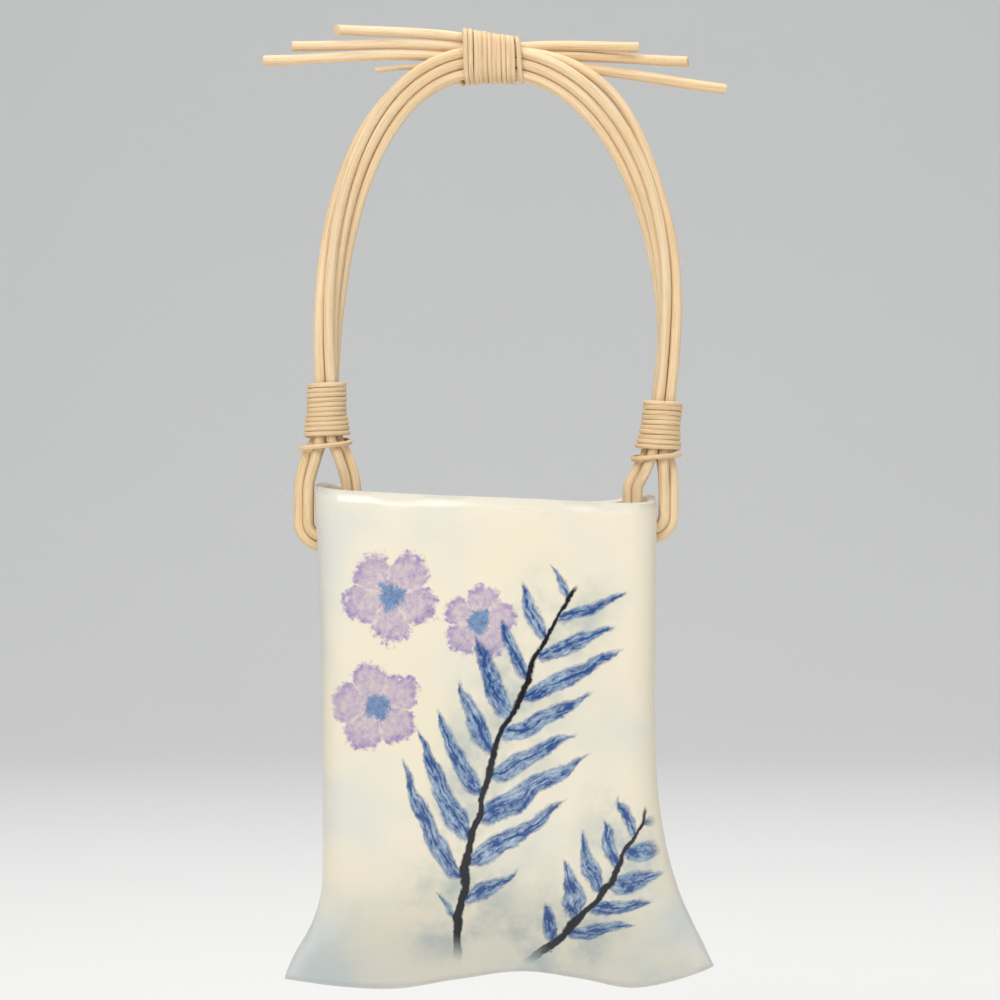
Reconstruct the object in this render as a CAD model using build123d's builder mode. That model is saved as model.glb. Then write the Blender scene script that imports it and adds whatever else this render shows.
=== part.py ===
"""A hanging wall vase: a slab-built porcelain pocket slung from a handle of bent reed.

The front faces -Y and +Z is up. The origin is the hanging point, at the underside of the
top lashing, and the two arches of the handle lie in the XZ plane. Millimetres.
"""

import os
from math import cos, pi, radians, sin, sqrt

from build123d import *

LEFT = -1
RIGHT = 1
FRONT = -1
REAR = 1

# Vase: a flattened tube of clay with its lower end pinched shut into a hem
mouth_width = 113.6
waist_width = 110.0
hem_width = 144.0
vase_height = 166.0
mouth_depth = 34.0
belly_depth = 41.0
seam_depth = 7.5
vase_wall = 3.5
side_radius = 11.0
front_bow = 2.6
vase_shift = 1.0
back_reach = 18.3
rim_rounding = 1.1
hem_rounding = 2.2
back_trim = 0.4
trim_overrun = 30.0

# Shares of the extra width that the left side takes, at the mouth and at the hem
mouth_lean_share = 0.77
hem_lean_share = 0.40

# Each row: height down from the rim, mouth flare, left and right hem flare, pinch
outline_shares = (
    (-0.06, 1.15, 0.00, 0.00, 0.00),
    (0.00, 1.00, 0.00, 0.00, 0.00),
    (0.14, 0.60, 0.00, 0.00, 0.00),
    (0.30, 0.12, 0.00, 0.00, 0.00),
    (0.46, 0.00, 0.00, 0.00, 0.00),
    (0.62, 0.00, 0.00, 0.07, 0.02),
    (0.72, 0.00, 0.01, 0.21, 0.08),
    (0.80, 0.00, 0.07, 0.40, 0.22),
    (0.87, 0.00, 0.35, 0.64, 0.46),
    (0.93, 0.00, 0.75, 0.88, 0.73),
    (0.97, 0.00, 0.94, 0.98, 0.90),
    (1.00, 0.00, 1.00, 1.02, 1.00),
    (1.06, 0.00, 1.04, 1.06, 1.03),
)

# The hollow ends at this row, in a floor above the seam
floor_shares = (0.945, 0.00, 0.83, 0.92, 0.80)
flare_fall_share = 3.0
rounding_share = 0.46

# Waves of the rim and the hem: share of the width, then share of the wave's height
rim_wave = 3.6
front_rim_shares = ((0.0, 0.64), (0.25, 0.15), (0.5, -0.05), (0.75, -0.24), (1.0, -0.33))
back_rim_shares = (
    (0.0, 1.31),
    (0.10, 1.25),
    (0.17, 0.45),
    (0.3, -0.1),
    (0.55, -0.2),
    (0.77, -0.25),
    (0.85, 0.5),
    (1.0, 0.55),
)
hem_wave = 8.7
hem_shares = (
    (0.0, 0.40),
    (0.12, 0.10),
    (0.26, 0.00),
    (0.40, 0.38),
    (0.56, 0.72),
    (0.68, 0.42),
    (0.81, 0.03),
    (0.91, 0.38),
    (1.0, 1.00),
)

# Reeds and the thin cane of the lashings
reed_diameter = 3.5
reed_gap = 0.1
cane_diameter = 1.1
cane_pitch = 1.6

# Handle: two unlike arches from the crown down to the side lashings. A pair is left, then right
crown_height = 7.7
rim_below_crown = 144.8
arch_rise = (106.8, 90.0)
arch_power_shares = (2.3, 2.1)
arch_bulge = (0.0, 4.0)
foot_shift = (-1.2, 2.2)
lashing_drop = (106.8, 112.8)
side_lashing_length = (18.0, 17.0)
stray_bow = 3.4
full_twist = 85.0

# Loops of reed through the side holes
hole_diameter = 9.2
hole_depth = (14.5, 12.0)
outer_loop_radius = (5.9, 5.5)
inner_loop_radius = (9.0, 5.6)
splay_length = 6.5
rim_clearance = 1.4

# Top lashing and the free ends on either side of it, by reed: upper, middle, lower
top_lashing_length = 20.8
entry_reach = 12.5
entry_lift = (4.9, 1.9)
end_reach = ((52.0, 67.0, 76.0), (49.0, 65.8, 78.0))
end_lift = ((10.9, 5.5, 0.5), (5.2, 0.9, -8.5))
end_set_back = ((0.4, 1.5, 0.3), (-1.8, 2.8, 0.6))

# Windings of cane: half height and half depth of the turns, and the loose last turn
top_turns = 12.5
top_half_height = (9.7, 8.3, 9.1)
top_half_depth = (8.7, 7.5, 8.1)
top_centre_lift = (1.1, 0.1, 0.3)
tail_reach = (39.0, 26.0, 15.5, 11.6)
tail_lift = (-2.6, -1.6, -2.3, -5.6)
tail_turn = 30.0
side_turns = (10.5, 10.0)
side_half_width = (6.1, 7.25)
side_half_depth = (6.9, 6.55)
loose_drop = (3.2, 2.6)
loose_swell = 1.5

# Shares of a quarter turn at which a strand's route is set along an arch
arch_shares = (0.14, 0.27, 0.41, 0.55, 0.69, 0.82, 0.92, 1.0)
foot_shares = {LEFT: (1.3, 1.65, 2.0), RIGHT: (1.3, 1.57, 1.8, 2.0)}

# How the strands part: stepping back beside the crown, straying, and opening at the foot
foot_power_share = 1.3
step_back_shares = (0.27, 0.5)
stray_share = 0.7
opening_share = 0.6
opening_span_shares = (1.4, 2.0)
splay_share = {REAR: 0.36, FRONT: 0.42}
splay_closed_share = 0.2
ease_share = 0.3
loose_turn_share = 0.6

names = ("upper", "middle", "lower")
pitch = reed_diameter + reed_gap
pair_set = pitch / (2 * sqrt(3))
single_set = pitch / sqrt(3)
rim_level = crown_height - rim_below_crown
half_waist = waist_width / 2


def on(side, pair):
    """The left or the right value of a pair."""
    return pair[0] if side == LEFT else pair[1]


def vase_edge(side, mouth_flare, hem_flare):
    """Distance of a side of the vase from x = 0."""
    mouth_lean = mouth_lean_share if side == LEFT else 1 - mouth_lean_share
    hem_lean = hem_lean_share if side == LEFT else 1 - hem_lean_share
    flare = (mouth_width - waist_width) * mouth_lean * mouth_flare
    flare += (hem_width - waist_width) * hem_lean * hem_flare
    return half_waist + flare - side * vase_shift


def wall_middle(side):
    """Distance from x = 0 of the middle of the side wall where its hole is."""
    hole_flare = 1 - on(side, hole_depth) / vase_height * flare_fall_share
    return vase_edge(side, hole_flare, 0) - vase_wall / 2


def foot_reach(side):
    """Distance from x = 0 of the handle at the bottom of a side lashing."""
    return wall_middle(side) + on(side, foot_shift)


def turned(side, along):
    """The outward normal of a run in the XZ plane, for a run that goes down its arch."""
    return Vector(-side * along.Z, 0, side * along.X)


def arch_centre(side, share):
    """Middle of the bundle: a quarter superellipse to share 1, then the foot to share 2."""
    half_span = foot_reach(side) + on(side, arch_bulge)
    foot_run = on(side, lashing_drop) + on(side, side_lashing_length) - on(side, arch_rise)
    power = 2 / on(side, arch_power_shares)
    quarter = min(share, 1) * pi / 2
    reach = half_span * sin(quarter) ** power
    drop = on(side, arch_rise) * (1 - cos(quarter) ** power)
    if share > 1:
        reach = half_span - on(side, arch_bulge) * (share - 1) ** foot_power_share
        drop = on(side, arch_rise) + foot_run * (share - 1)
    return Vector(side * reach, 0, crown_height - drop)


def smooth_step(value, low, high):
    """0 below low, 1 above high, with an even rise between."""
    step = min(max((value - low) / (high - low), 0), 1)
    return step * step * (3 - 2 * step)


def strand_point(side, share, place, layer):
    """A strand of an arch: its place is 1 outside, 0 in the middle and -1 inside."""
    step = 0.002
    along = (arch_centre(side, share + step) - arch_centre(side, max(share - step, 0))).normalized()
    centre = arch_centre(side, share)
    twist = radians(full_twist) * min(1, (crown_height - centre.Z) / on(side, arch_rise))
    across = place * pitch
    depth = layer * pitch / 2
    outward = across * cos(twist) + depth * sin(twist)
    back = depth * cos(twist) - across * sin(twist)
    if side == LEFT and layer == REAR:
        back += pitch * (1 - smooth_step(share, *step_back_shares))
    if side == RIGHT and layer == REAR and place == 1:
        outward += stray_bow * sin(pi * min(share / stray_share, 1)) ** 2
    if place == 0:
        opening = opening_share * smooth_step(share, *opening_span_shares)
        outward += layer * (pair_set + single_set) * opening
    return centre + turned(side, along) * outward + Vector(0, back, 0)


def strand_node(side, share, place, layer):
    """A strand's point with the direction that it takes down the arch."""
    step = 0.01
    ahead = strand_point(side, share + step, place, layer)
    behind = strand_point(side, max(share - step, 0), place, layer)
    return strand_point(side, share, place, layer), (ahead - behind).normalized()


def arch_nodes(side, place, layer):
    """A strand from near the crown to the bottom of its side lashing."""
    return [strand_node(side, share, place, layer) for share in arch_shares + foot_shares[side]]


def leg_point(side, reach, level, place, layer, closed):
    """A strand below the lashing: reach is the pair's, and closed is 1 where it nests."""
    single = layer * (pair_set + single_set) if place == 0 else 0
    spread = pitch - closed * pitch / 2
    return Vector(side * (reach + single), -place * spread, level)


def loop_nodes(side, place):
    """Down the outer leg, through the hole from outside, and up the inner leg."""
    down = Vector(0, 0, -1)
    inward = Vector(-side, 0, 0)
    wall = wall_middle(side)
    hole_level = rim_level - on(side, hole_depth)
    outer = wall + on(side, outer_loop_radius) - pair_set
    inner = wall - on(side, inner_loop_radius) + pair_set
    foot = foot_reach(side)
    foot_level = crown_height - on(side, lashing_drop) - on(side, side_lashing_length)
    splay_level = foot_level - splay_length
    rim_node_level = rim_level + rim_clearance
    pair_drop = pair_set if place else -single_set
    outer_splay = foot + pitch / 2 + (outer - foot - pitch / 2) * splay_share[REAR]
    inner_splay = foot - pitch / 2 + (inner - foot + pitch / 2) * splay_share[FRONT]
    points = [
        (leg_point(side, outer_splay, splay_level, place, REAR, splay_closed_share), None),
        (leg_point(side, outer, rim_node_level, place, REAR, 1), down),
        (leg_point(side, outer, hole_level + on(side, outer_loop_radius), place, REAR, 1), down),
        (Vector(side * wall, -place * pitch / 2, hole_level + pair_drop), inward),
        (leg_point(side, inner, hole_level + on(side, inner_loop_radius), place, FRONT, 1), -down),
        (leg_point(side, inner, rim_node_level, place, FRONT, 1), -down),
        (leg_point(side, inner_splay, splay_level, place, FRONT, splay_closed_share), None),
    ]
    return points


def flipped(nodes):
    """The same nodes, walked the other way."""
    return [(point, -way if way else None) for point, way in reversed(nodes)]


def crossing_ways(side):
    """Directions of a free end's run at the lashing's face and at its middle."""
    far = arch_centre(-side, arch_shares[0])
    near = Vector(side * entry_reach, 0, crown_height + on(side, entry_lift))
    level = Vector(-side, 0, 0)
    along = (far - near).normalized()
    turning = along * 2 - arch_way(-side) - level
    middle_way = (along + turning * ease_share).normalized()
    return far, near, (level + along).normalized(), middle_way


def arch_way(side):
    """Direction of an arch where the free ends' runs join it."""
    ahead = arch_centre(side, arch_shares[0] * 1.1)
    return (ahead - arch_centre(side, arch_shares[0] * 0.9)).normalized()


def end_nodes(side, number, place):
    """A free end, from its tip through the top lashing to the middle of its crossing."""
    back = Vector(0, pitch / 2 if side == LEFT else 3 * pitch / 2, 0)
    far, near, face_way, middle_way = crossing_ways(side)
    tip_lift = crown_height + on(side, end_lift)[number]
    tip = Vector(side * on(side, end_reach)[number], on(side, end_set_back)[number], tip_lift) + back
    face = near + turned(-side, face_way) * (place * pitch) + back
    middle = (far + near) * 0.5 + turned(-side, middle_way) * (place * pitch) + back
    return [(tip, None), (face, face_way), (middle, middle_way)]


def reed_nodes(number):
    """The whole route of one reed, from its left tip to its right tip."""
    place = 1 - number
    crown = Vector(0, -pitch / 2, crown_height + place * pitch)
    nodes = end_nodes(LEFT, number, place)
    nodes += arch_nodes(RIGHT, place, REAR)
    nodes += loop_nodes(RIGHT, place)
    nodes += flipped(arch_nodes(RIGHT, place, FRONT))
    nodes.append((crown, Vector(-1, 0, 0)))
    nodes += arch_nodes(LEFT, place, FRONT)
    nodes += flipped(loop_nodes(LEFT, place))
    nodes += flipped(arch_nodes(LEFT, place, REAR))
    nodes += flipped(end_nodes(RIGHT, number, place))
    return with_ways(nodes)


def with_ways(nodes):
    """Fill in each missing direction, along the circle through a node's neighbours."""
    points = [point for point, way in nodes]
    filled = []
    for index, (point, way) in enumerate(nodes):
        if way is None and index == 0:
            way = (points[1] - point).normalized()
        elif way is None and index == len(nodes) - 1:
            way = (point - points[-2]).normalized()
        elif way is None:
            before = point - points[index - 1]
            after = points[index + 1] - point
            way = (before / before.length**2 + after / after.length**2).normalized()
        filled.append((point, way))
    return filled


def biarc(start, start_way, end, end_way):
    """Join two directed points by two tangent arcs, or by a line where they are in line."""
    chord = end - start
    if start_way.cross(chord).length < 1e-6 * chord.length and start_way.dot(end_way) > 1 - 1e-12:
        Line(start, end)
        return
    total = start_way + end_way
    spare = 2 * (1 - start_way.dot(end_way))
    reach = chord.dot(total)
    if spare < 1e-9:
        handle = chord.dot(chord) / (2 * reach)
    else:
        handle = (sqrt(reach**2 + spare * chord.dot(chord)) - reach) / spare
    joint = (start + end + (start_way - end_way) * handle) * 0.5
    joint_way = (end - end_way * handle - start - start_way * handle).normalized()
    for first, way, last in ((start, start_way, joint), (joint, joint_way, end)):
        run = last - first
        if way.cross(run).length < 1e-5 * run.length:
            Line(first, last)
        else:
            TangentArc(first, last, tangent=way)


def swept_tube(nodes, diameter):
    """A round rod along a route of nodes."""
    with BuildPart() as tube:
        with BuildLine() as route:
            for (start, start_way), (end, end_way) in zip(nodes, nodes[1:]):
                biarc(start, start_way, end, end_way)
        with BuildSketch(Plane(origin=route.line @ 0, z_dir=route.line % 0)):
            Circle(diameter / 2)
        sweep()
    return tube


def directed(place, angle):
    """A point of a winding with the direction that the cane takes there."""
    step = 0.01
    return place(angle), (place(angle + step) - place(angle - step)).normalized()


def between(ends, share):
    """A value between the two, or the three, ends of a run."""
    spans = len(ends) - 1
    index = min(int(share * spans), spans - 1)
    low, high = ends[index], ends[index + 1]
    return low + (high - low) * (share * spans - index)


def top_place(angle):
    """The cane of the top lashing: up the back, over the top and down the front."""
    share = min(max(angle / (2 * pi * top_turns), 0), 1)
    along = cane_pitch * (angle / (2 * pi) - top_turns / 2)
    back = pitch / 2 + between(top_half_depth, share) * sin(angle)
    level = crown_height + between(top_centre_lift, share) - between(top_half_height, share) * cos(angle)
    return Vector(along, back, level)


def side_place(side, angle):
    """The cane of a side lashing: across the front to the outside and round the back."""
    turns = angle / (2 * pi)
    packed = on(side, side_turns)
    loose = smooth_step(turns, packed, packed + loose_turn_share)
    swell = loose * loose_swell
    drop = on(side, lashing_drop) + cane_pitch * (turns + 0.5) + on(side, loose_drop) * loose
    spread = smooth_step(turns / packed, 0.5, 1)
    foot = arch_foot(side, crown_height - drop)
    outward = (between(side_half_width, spread) + swell) * cos(angle + pi)
    back = between(side_half_depth, spread) * sin(angle + pi)
    return foot + Vector(side * outward, back, 0)


def arch_foot(side, level):
    """Middle of the bundle at a level in or below the side lashing."""
    foot_run = on(side, lashing_drop) + on(side, side_lashing_length) - on(side, arch_rise)
    share = 1 + (crown_height - on(side, arch_rise) - level) / foot_run
    centre = arch_centre(side, share)
    return Vector(centre.X, 0, level)


def winding_nodes(place, first, turns):
    """Quarter turns of cane, with a straight stub at the far end."""
    quarters = int(turns * 4)
    nodes = [directed(place, first + quarter * pi / 2) for quarter in range(quarters + 1)]
    end, way = nodes[-1]
    return nodes + [(end + way * cane_diameter, way)]


def least_gap(tube_nodes, diameter):
    """The least gap between the turns of a winding, measured on points of its centre line."""
    points = []
    with BuildLine() as route:
        for (start, start_way), (end, end_way) in zip(tube_nodes, tube_nodes[1:]):
            biarc(start, start_way, end, end_way)
    for edge in route.edges():
        points += [edge @ (part_share / 6) for part_share in range(6)]
    apart = [
        (one - other).length
        for index, one in enumerate(points)
        for other in points[index + 20 :]
    ]
    return min(apart) - diameter


def vase_section(row, inset, back):
    """The vase's outline at one height: flat back, upright sides and a gently bowed front."""
    height_share, mouth_flare, left_flare, right_flare, pinch = row
    left = -vase_edge(LEFT, mouth_flare, left_flare) + inset
    right = vase_edge(RIGHT, mouth_flare, right_flare) - inset
    depth = belly_depth - (belly_depth - mouth_depth) * mouth_flare
    depth -= (belly_depth - seam_depth) * pinch
    rounding = min(side_radius, rounding_share * depth) - inset
    front = back_reach - depth + inset
    bow = front_bow * depth / belly_depth
    with BuildSketch(Plane.XY.offset(rim_level - height_share * vase_height)) as section:
        with BuildLine():
            Polyline((left, front), (left, back), (right, back), (right, front))
            ThreePointArc((right, front), ((left + right) / 2, front - bow), (left, front))
        make_face()
        fillet(section.vertices(), rounding)
    return section.sketch.face()


def trim_profile(plane, rim_shares):
    """What the rim and the hem keep of the clay tube, seen from the front."""
    with BuildSketch(plane) as profile:
        with BuildLine():
            rim = wave_line(rim_shares, rim_wave, rim_level)
            hem = wave_line(hem_shares, hem_wave, rim_level - vase_height)
            Line(hem @ 0, rim @ 0)
            Line(hem @ 1, rim @ 1)
        make_face()
    return profile.sketch.face()


def hole_centre(side):
    """Middle of a side hole, at the height where the reeds lie in it."""
    return Vector(side * wall_middle(side), 0, rim_level - on(side, hole_depth))


def wave_line(shares, wave, base):
    """A wavy line across the width of the vase, from its left to its right."""
    left = -vase_edge(LEFT, 0, 1)
    right = vase_edge(RIGHT, 0, 1)
    return Spline(*[(left + (right - left) * across, base + wave * up) for across, up in shares])


os.makedirs("parts", exist_ok=True)

# Clay kept between the wavy rim and the wavy hem, in front of the flat back
with BuildPart() as trim:
    front_profile = trim_profile(Plane.XZ.offset(belly_depth - back_reach + 2 * front_bow), front_rim_shares)
    back_profile = trim_profile(Plane.XZ.offset(-back_reach), back_rim_shares)
    loft(sections=[front_profile, back_profile], ruled=True)

# Vase, with its hollow and the two side holes on one axis
hollow_rows = [row for row in outline_shares if row[0] < floor_shares[0]] + [floor_shares]
hole_run = hole_centre(RIGHT) - hole_centre(LEFT)
hole_plane = Plane(origin=hole_centre(LEFT), z_dir=hole_run)
with BuildPart() as vase_body:
    loft(sections=[vase_section(row, 0, back_reach + back_trim) for row in outline_shares])
    add(trim.part, mode=Mode.INTERSECT)
    hem_top = rim_level - vase_height + hem_wave
    fillet(vase_body.edges().filter_by(lambda edge: edge.bounding_box().max.Z < hem_top), hem_rounding)
    inner_back = back_reach - vase_wall
    loft(sections=[vase_section(row, vase_wall, inner_back) for row in hollow_rows], mode=Mode.SUBTRACT)
    with BuildSketch(hole_plane.offset(-trim_overrun)):
        Circle(hole_diameter / 2)
    extrude(amount=hole_run.length + 2 * trim_overrun, mode=Mode.SUBTRACT)
    rim_edges = vase_body.edges().filter_by(lambda edge: edge.bounding_box().min.Z > rim_level - rim_wave)
    fillet(rim_edges, rim_rounding)
vase_body.part.label = "vase_body"
export_step(vase_body.part, "parts/vase_body.step")

# Reeds
for number, name in enumerate(names):
    reed = swept_tube(reed_nodes(number), reed_diameter)
    reed.part.label = f"reed_{name}"
    export_step(reed.part, f"parts/reed_{name}.step")

# Lashings, each one length of cane
tail_nodes = with_ways([
    (Vector(-reach, pitch / 2, crown_height + lift), None) for reach, lift in zip(tail_reach, tail_lift)
])
windings = {
    "lashing_top": tail_nodes + winding_nodes(top_place, radians(tail_turn), top_turns),
    "lashing_left": winding_nodes(lambda angle: side_place(LEFT, angle), 0, on(LEFT, side_turns) + 1),
    "lashing_right": winding_nodes(lambda angle: side_place(RIGHT, angle), 0, on(RIGHT, side_turns) + 1),
}
for name, nodes in windings.items():
    lashing = swept_tube(nodes, cane_diameter)
    lashing.part.label = name
    export_step(lashing.part, f"parts/{name}.step")
    print(name, "least gap between turns", round(least_gap(nodes, cane_diameter), 2))

print("vase centre of mass", vase_body.part.center())
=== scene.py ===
"""A hanging wall vase: a porcelain pocket on a handle of bent reed, dressed for looks.

Lengths are millimetres until a mesh is made, in metres, in the frame's own place.
"""

from functools import partial
from math import ceil, cos, pi, radians, sin, sqrt

import bmesh
import bpy
import numpy as np
from bpy.props import FloatProperty, FloatVectorProperty, IntProperty, PointerProperty
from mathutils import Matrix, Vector, noise
from mathutils.geometry import interpolate_bezier


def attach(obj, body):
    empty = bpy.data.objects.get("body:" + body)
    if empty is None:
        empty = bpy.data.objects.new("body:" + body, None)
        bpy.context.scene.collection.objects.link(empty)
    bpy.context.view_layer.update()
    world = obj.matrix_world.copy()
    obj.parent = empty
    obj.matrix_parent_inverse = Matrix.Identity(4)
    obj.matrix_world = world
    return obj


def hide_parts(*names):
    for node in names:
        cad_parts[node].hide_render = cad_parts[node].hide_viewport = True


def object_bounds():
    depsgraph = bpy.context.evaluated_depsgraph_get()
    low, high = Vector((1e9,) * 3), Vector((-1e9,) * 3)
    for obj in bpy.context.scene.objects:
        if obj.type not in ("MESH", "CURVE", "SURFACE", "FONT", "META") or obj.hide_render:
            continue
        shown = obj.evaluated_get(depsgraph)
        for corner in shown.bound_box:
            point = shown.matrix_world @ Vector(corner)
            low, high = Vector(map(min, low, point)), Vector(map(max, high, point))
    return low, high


bl_info = {
    "name": "Hanging Wall Vase",
    "version": (1, 0, 0),
    "blender": (4, 5, 0),
    "location": "View3D > Sidebar > Wall Vase",
    "description": "Builds a slab-built porcelain wall vase on a handle of bent reed",
    "category": "Add Mesh",
}

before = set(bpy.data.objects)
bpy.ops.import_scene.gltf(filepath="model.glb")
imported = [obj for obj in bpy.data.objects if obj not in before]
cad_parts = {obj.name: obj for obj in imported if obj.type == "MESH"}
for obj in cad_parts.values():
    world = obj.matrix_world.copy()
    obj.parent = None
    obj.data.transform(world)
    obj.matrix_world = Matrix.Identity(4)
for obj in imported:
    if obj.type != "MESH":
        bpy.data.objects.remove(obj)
CAD_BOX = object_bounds()

MM = 0.001
LEFT = -1
RIGHT = 1
FRONT = -1
REAR = 1

# Vase outline
MOUTH_WIDTH = 113.6
WAIST_WIDTH = 110.0
HEM_WIDTH = 146.4
VASE_HEIGHT = 166.0
MOUTH_DEPTH = 34.0
BELLY_DEPTH = 41.0
SEAM_DEPTH = 7.5
SIDE_RADIUS = 11.0
FRONT_BOW = 2.6
VASE_SHIFT = 1.0
BACK_REACH = 18.3
MOUTH_LEAN_SHARE = 0.77
HEM_LEAN_SHARE = 0.393
ROUNDING_SHARE = 0.46
FLOOR_SHARE = 0.945

# Each row: height down from the rim, mouth flare, left and right hem flare, pinch
OUTLINE_SHARES = (
    (-0.06, 1.15, 0.00, 0.00, 0.00),
    (0.00, 1.00, 0.00, 0.00, 0.00),
    (0.14, 0.60, 0.00, 0.00, 0.00),
    (0.30, 0.12, 0.00, 0.00, 0.00),
    (0.46, 0.00, 0.00, 0.00, 0.00),
    (0.62, 0.00, 0.00, 0.07, 0.02),
    (0.72, 0.00, 0.01, 0.21, 0.08),
    (0.80, 0.00, 0.07, 0.40, 0.22),
    (0.87, 0.00, 0.35, 0.64, 0.46),
    (0.93, 0.00, 0.75, 0.88, 0.73),
    (0.97, 0.00, 0.94, 0.98, 0.90),
    (1.00, 0.00, 1.00, 1.02, 1.00),
    (1.06, 0.00, 1.04, 1.06, 1.03),
)

# Waves of the rim and the hem: share of the width, then share of the wave's height
RIM_WAVE = 3.6
FRONT_RIM_SHARES = (
    (0.0, 0.72),
    (0.08, 0.65),
    (0.157, 0.52),
    (0.224, 0.38),
    (0.36, 0.086),
    (0.51, -0.133),
    (0.693, -0.50),
    (0.85, -0.74),
    (1.0, -0.78),
)
BACK_RIM_SHARES = (
    (0.0, 1.62),
    (0.10, 1.5),
    (0.17, 0.45),
    (0.3, -0.1),
    (0.55, -0.2),
    (0.77, -0.25),
    (0.85, 0.62),
    (1.0, 0.7),
)
HEM_WAVE = 8.7
HEM_SHARES = (
    (0.0, 0.40),
    (0.12, 0.10),
    (0.26, 0.00),
    (0.40, 0.38),
    (0.56, 0.72),
    (0.68, 0.42),
    (0.81, 0.03),
    (0.91, 0.38),
    (1.0, 1.00),
)

# How far down the rim's wave and how far up the hem's wave are felt
RIM_FADE_SHARE = 0.22
HEM_FADE_SHARE = 0.16
LIP_RISE = 1.5
LIP_BEVEL = 3.0
LIP_POWER = 0.8
HEM_ROUND = 1.9
FLOOR_ROUND = 1.2
LEAST_ROUND = 0.3
DENT_SIZE = 42.0
DENT_DEPTH = 0.5
RIPPLE_SIZE = 15.0
RIPPLE_DEPTH = 0.12

# Valleys that a thumb left beside the lower corners: x and z of the top and of the foot
VALLEYS = ((-50.5, -262.0, -57.0, -290.0), (59.5, -262.0, 67.0, -290.0))
VALLEY_DEPTH = 1.5
VALLEY_WIDTH = 3.6

# Counts of the vase's table of places: round its section and along its profile. The mesh has
# fewer rings than the table has rows, because one subdivision makes no more than MOST_CUTS
FRONT_COUNT = 84
CORNER_COUNT = 9
SIDE_COUNT = 10
OUTER_ROWS = 150
LIP_ROWS = 9
INNER_ROWS = 110
CLOSING_ROWS = 7
MOST_CUTS = 100
SECTION_START_TURN = 0.375
HOLE_SIDES = 56
HOLE_CUTS = 40
HOLE_FLARE = 0.9
HOLE_FLARE_END_SHARE = 1.6
VASE_SMOOTH_ANGLE = 50

# Wear and painted shade of the lip and the hem, and unevenness of the front lip
WAVER_SIZE = 13
WAVER_SHARE = 0.9
BEVEL_DEPTH = 0.95
BEVEL_RIGHT_SHARE = 0.25
# Strength of the lip's rubbed glaze and painted shade
LIP_WEAR_AND_SHADE_SHARE = 0.85
RIM_SETTLE_SHARE = 0.05
HAND_FADE_SHARE = 0.06
HAND_END_SHARE = 0.995
# Share of rubbed glaze and painted shade on the lip rows and the hem rows
WEAR_AND_SHADE_SHARES = {"lip": 1.0, "hem": 0.6}

# Counts and steps of the swept meshes
REED_STEP = 1.1
TAIL_STEP = 0.8
CUT_RING_STEPS = (0, 0.08, 0.25, 0.55)
CUT_ZONE = 1
CANE_SIDES = 14
CANE_TURN_STEPS = 40
CANE_END_STEPS = (0.6, 1.2)
HAIR_SIDES = 5
HAIR_STEPS = 8
HAIR_TAPER_SHARE = 0.8
CUT_ROUND = 0.45
CUT_SLANT_REACH = 5
CANE_POWER_SHARE = 0.82
SWEPT_SMOOTH_ANGLE = 40

# Handle: two unlike arches. A pair is left, then right
CROWN_HEIGHT = 7.7
RIM_BELOW_CROWN = 144.8
ARCH_RISE = (106.8, 90.0)
ARCH_POWER_SHARES = (2.3, 2.1)
ARCH_BULGE = (0.0, 4.0)
FOOT_SHIFT = (-1.2, 2.2)
LASHING_DROP = (106.8, 112.8)
SIDE_LASHING_LENGTH = (18.0, 17.0)
STRAY_BOW = 3.4
FULL_TWIST = 85.0
REED_DIAMETER = 3.5
REED_GAP = 0.1
HOLE_DIAMETER = 9.2
HOLE_DEPTH = (14.5, 12.0)
OUTER_LOOP_RADIUS = (5.9, 5.5)
INNER_LOOP_RADIUS = (9.0, 5.6)
SPLAY_LENGTH = 6.5
RIM_CLEARANCE = 1.4
VASE_WALL = 3.5
FLARE_FALL_SHARE = 3.0

# Free ends beside the top lashing, by reed: upper, middle, lower
ENTRY_REACH = 12.5
ENTRY_LIFT = (4.9, 1.9)
END_REACH = ((52.0, 67.0, 76.0), (49.0, 65.8, 78.0))
END_LIFT = ((10.9, 5.5, 0.5), (5.2, 0.9, -8.5))
END_SET_BACK = ((0.4, 1.5, 0.3), (-1.8, 2.8, 0.6))
CUT_SLANT_SHARES = ((0.75, 0.15, -0.3), (0.1, -0.35, 0.45))

# Lashings of cane
CANE_PITCH = 1.6
TOP_TURNS = 12.5
TOP_PITCH = 1.53
TOP_HALF_HEIGHT = (8.9, 7.7, 7.2)
TOP_HALF_DEPTH = (6.8, 6.4, 6.6)
TOP_CENTRE_LIFT = (1.8, 1.3, 0.3)
TURN_POWER = 0.52
TOP_SLACK = 0.13
TOP_DRIFT = 0.16
TOP_TURNS_LEFT_OFF = 0.15
TAIL_REACH = (39.0, 26.0, 15.5, 11.6)
TAIL_LIFT = (-2.6, -1.6, -2.3, -5.6)
TAIL_TURN = 30.0
SIDE_TURNS = (10.5, 10.0)
SIDE_HALF_WIDTH = (6.1, 7.25)
SIDE_HALF_DEPTH = (6.9, 6.55)
LOOSE_DROP = (3.0, 2.9)
LOOSE_RISE = 2.2
LOOSE_SWELL = (1.5, 0.5)
SIDE_SLACK = 0.14
SIDE_DRIFT = 0.12

# Shares along the arches, and how the strands part there
ARCH_SHARES = (0.14, 0.27, 0.41, 0.55, 0.69, 0.82, 0.92, 1.0)
FOOT_SHARES = {LEFT: (1.3, 1.65, 2.0), RIGHT: (1.3, 1.57, 1.8, 2.0)}
FOOT_POWER_SHARE = 1.3
STEP_BACK_SHARES = (0.27, 0.5)
STRAY_SHARE = 0.7
OPENING_SHARE = 0.6
OPENING_SPAN_SHARES = (1.4, 2.0)
SPLAY_SHARE = {REAR: 0.36, FRONT: 0.42}
SPLAY_CLOSED_SHARE = 0.2
EASE_SHARE = 0.3
LOOSE_TURN_SHARES = (1.0, 0.5)

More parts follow.
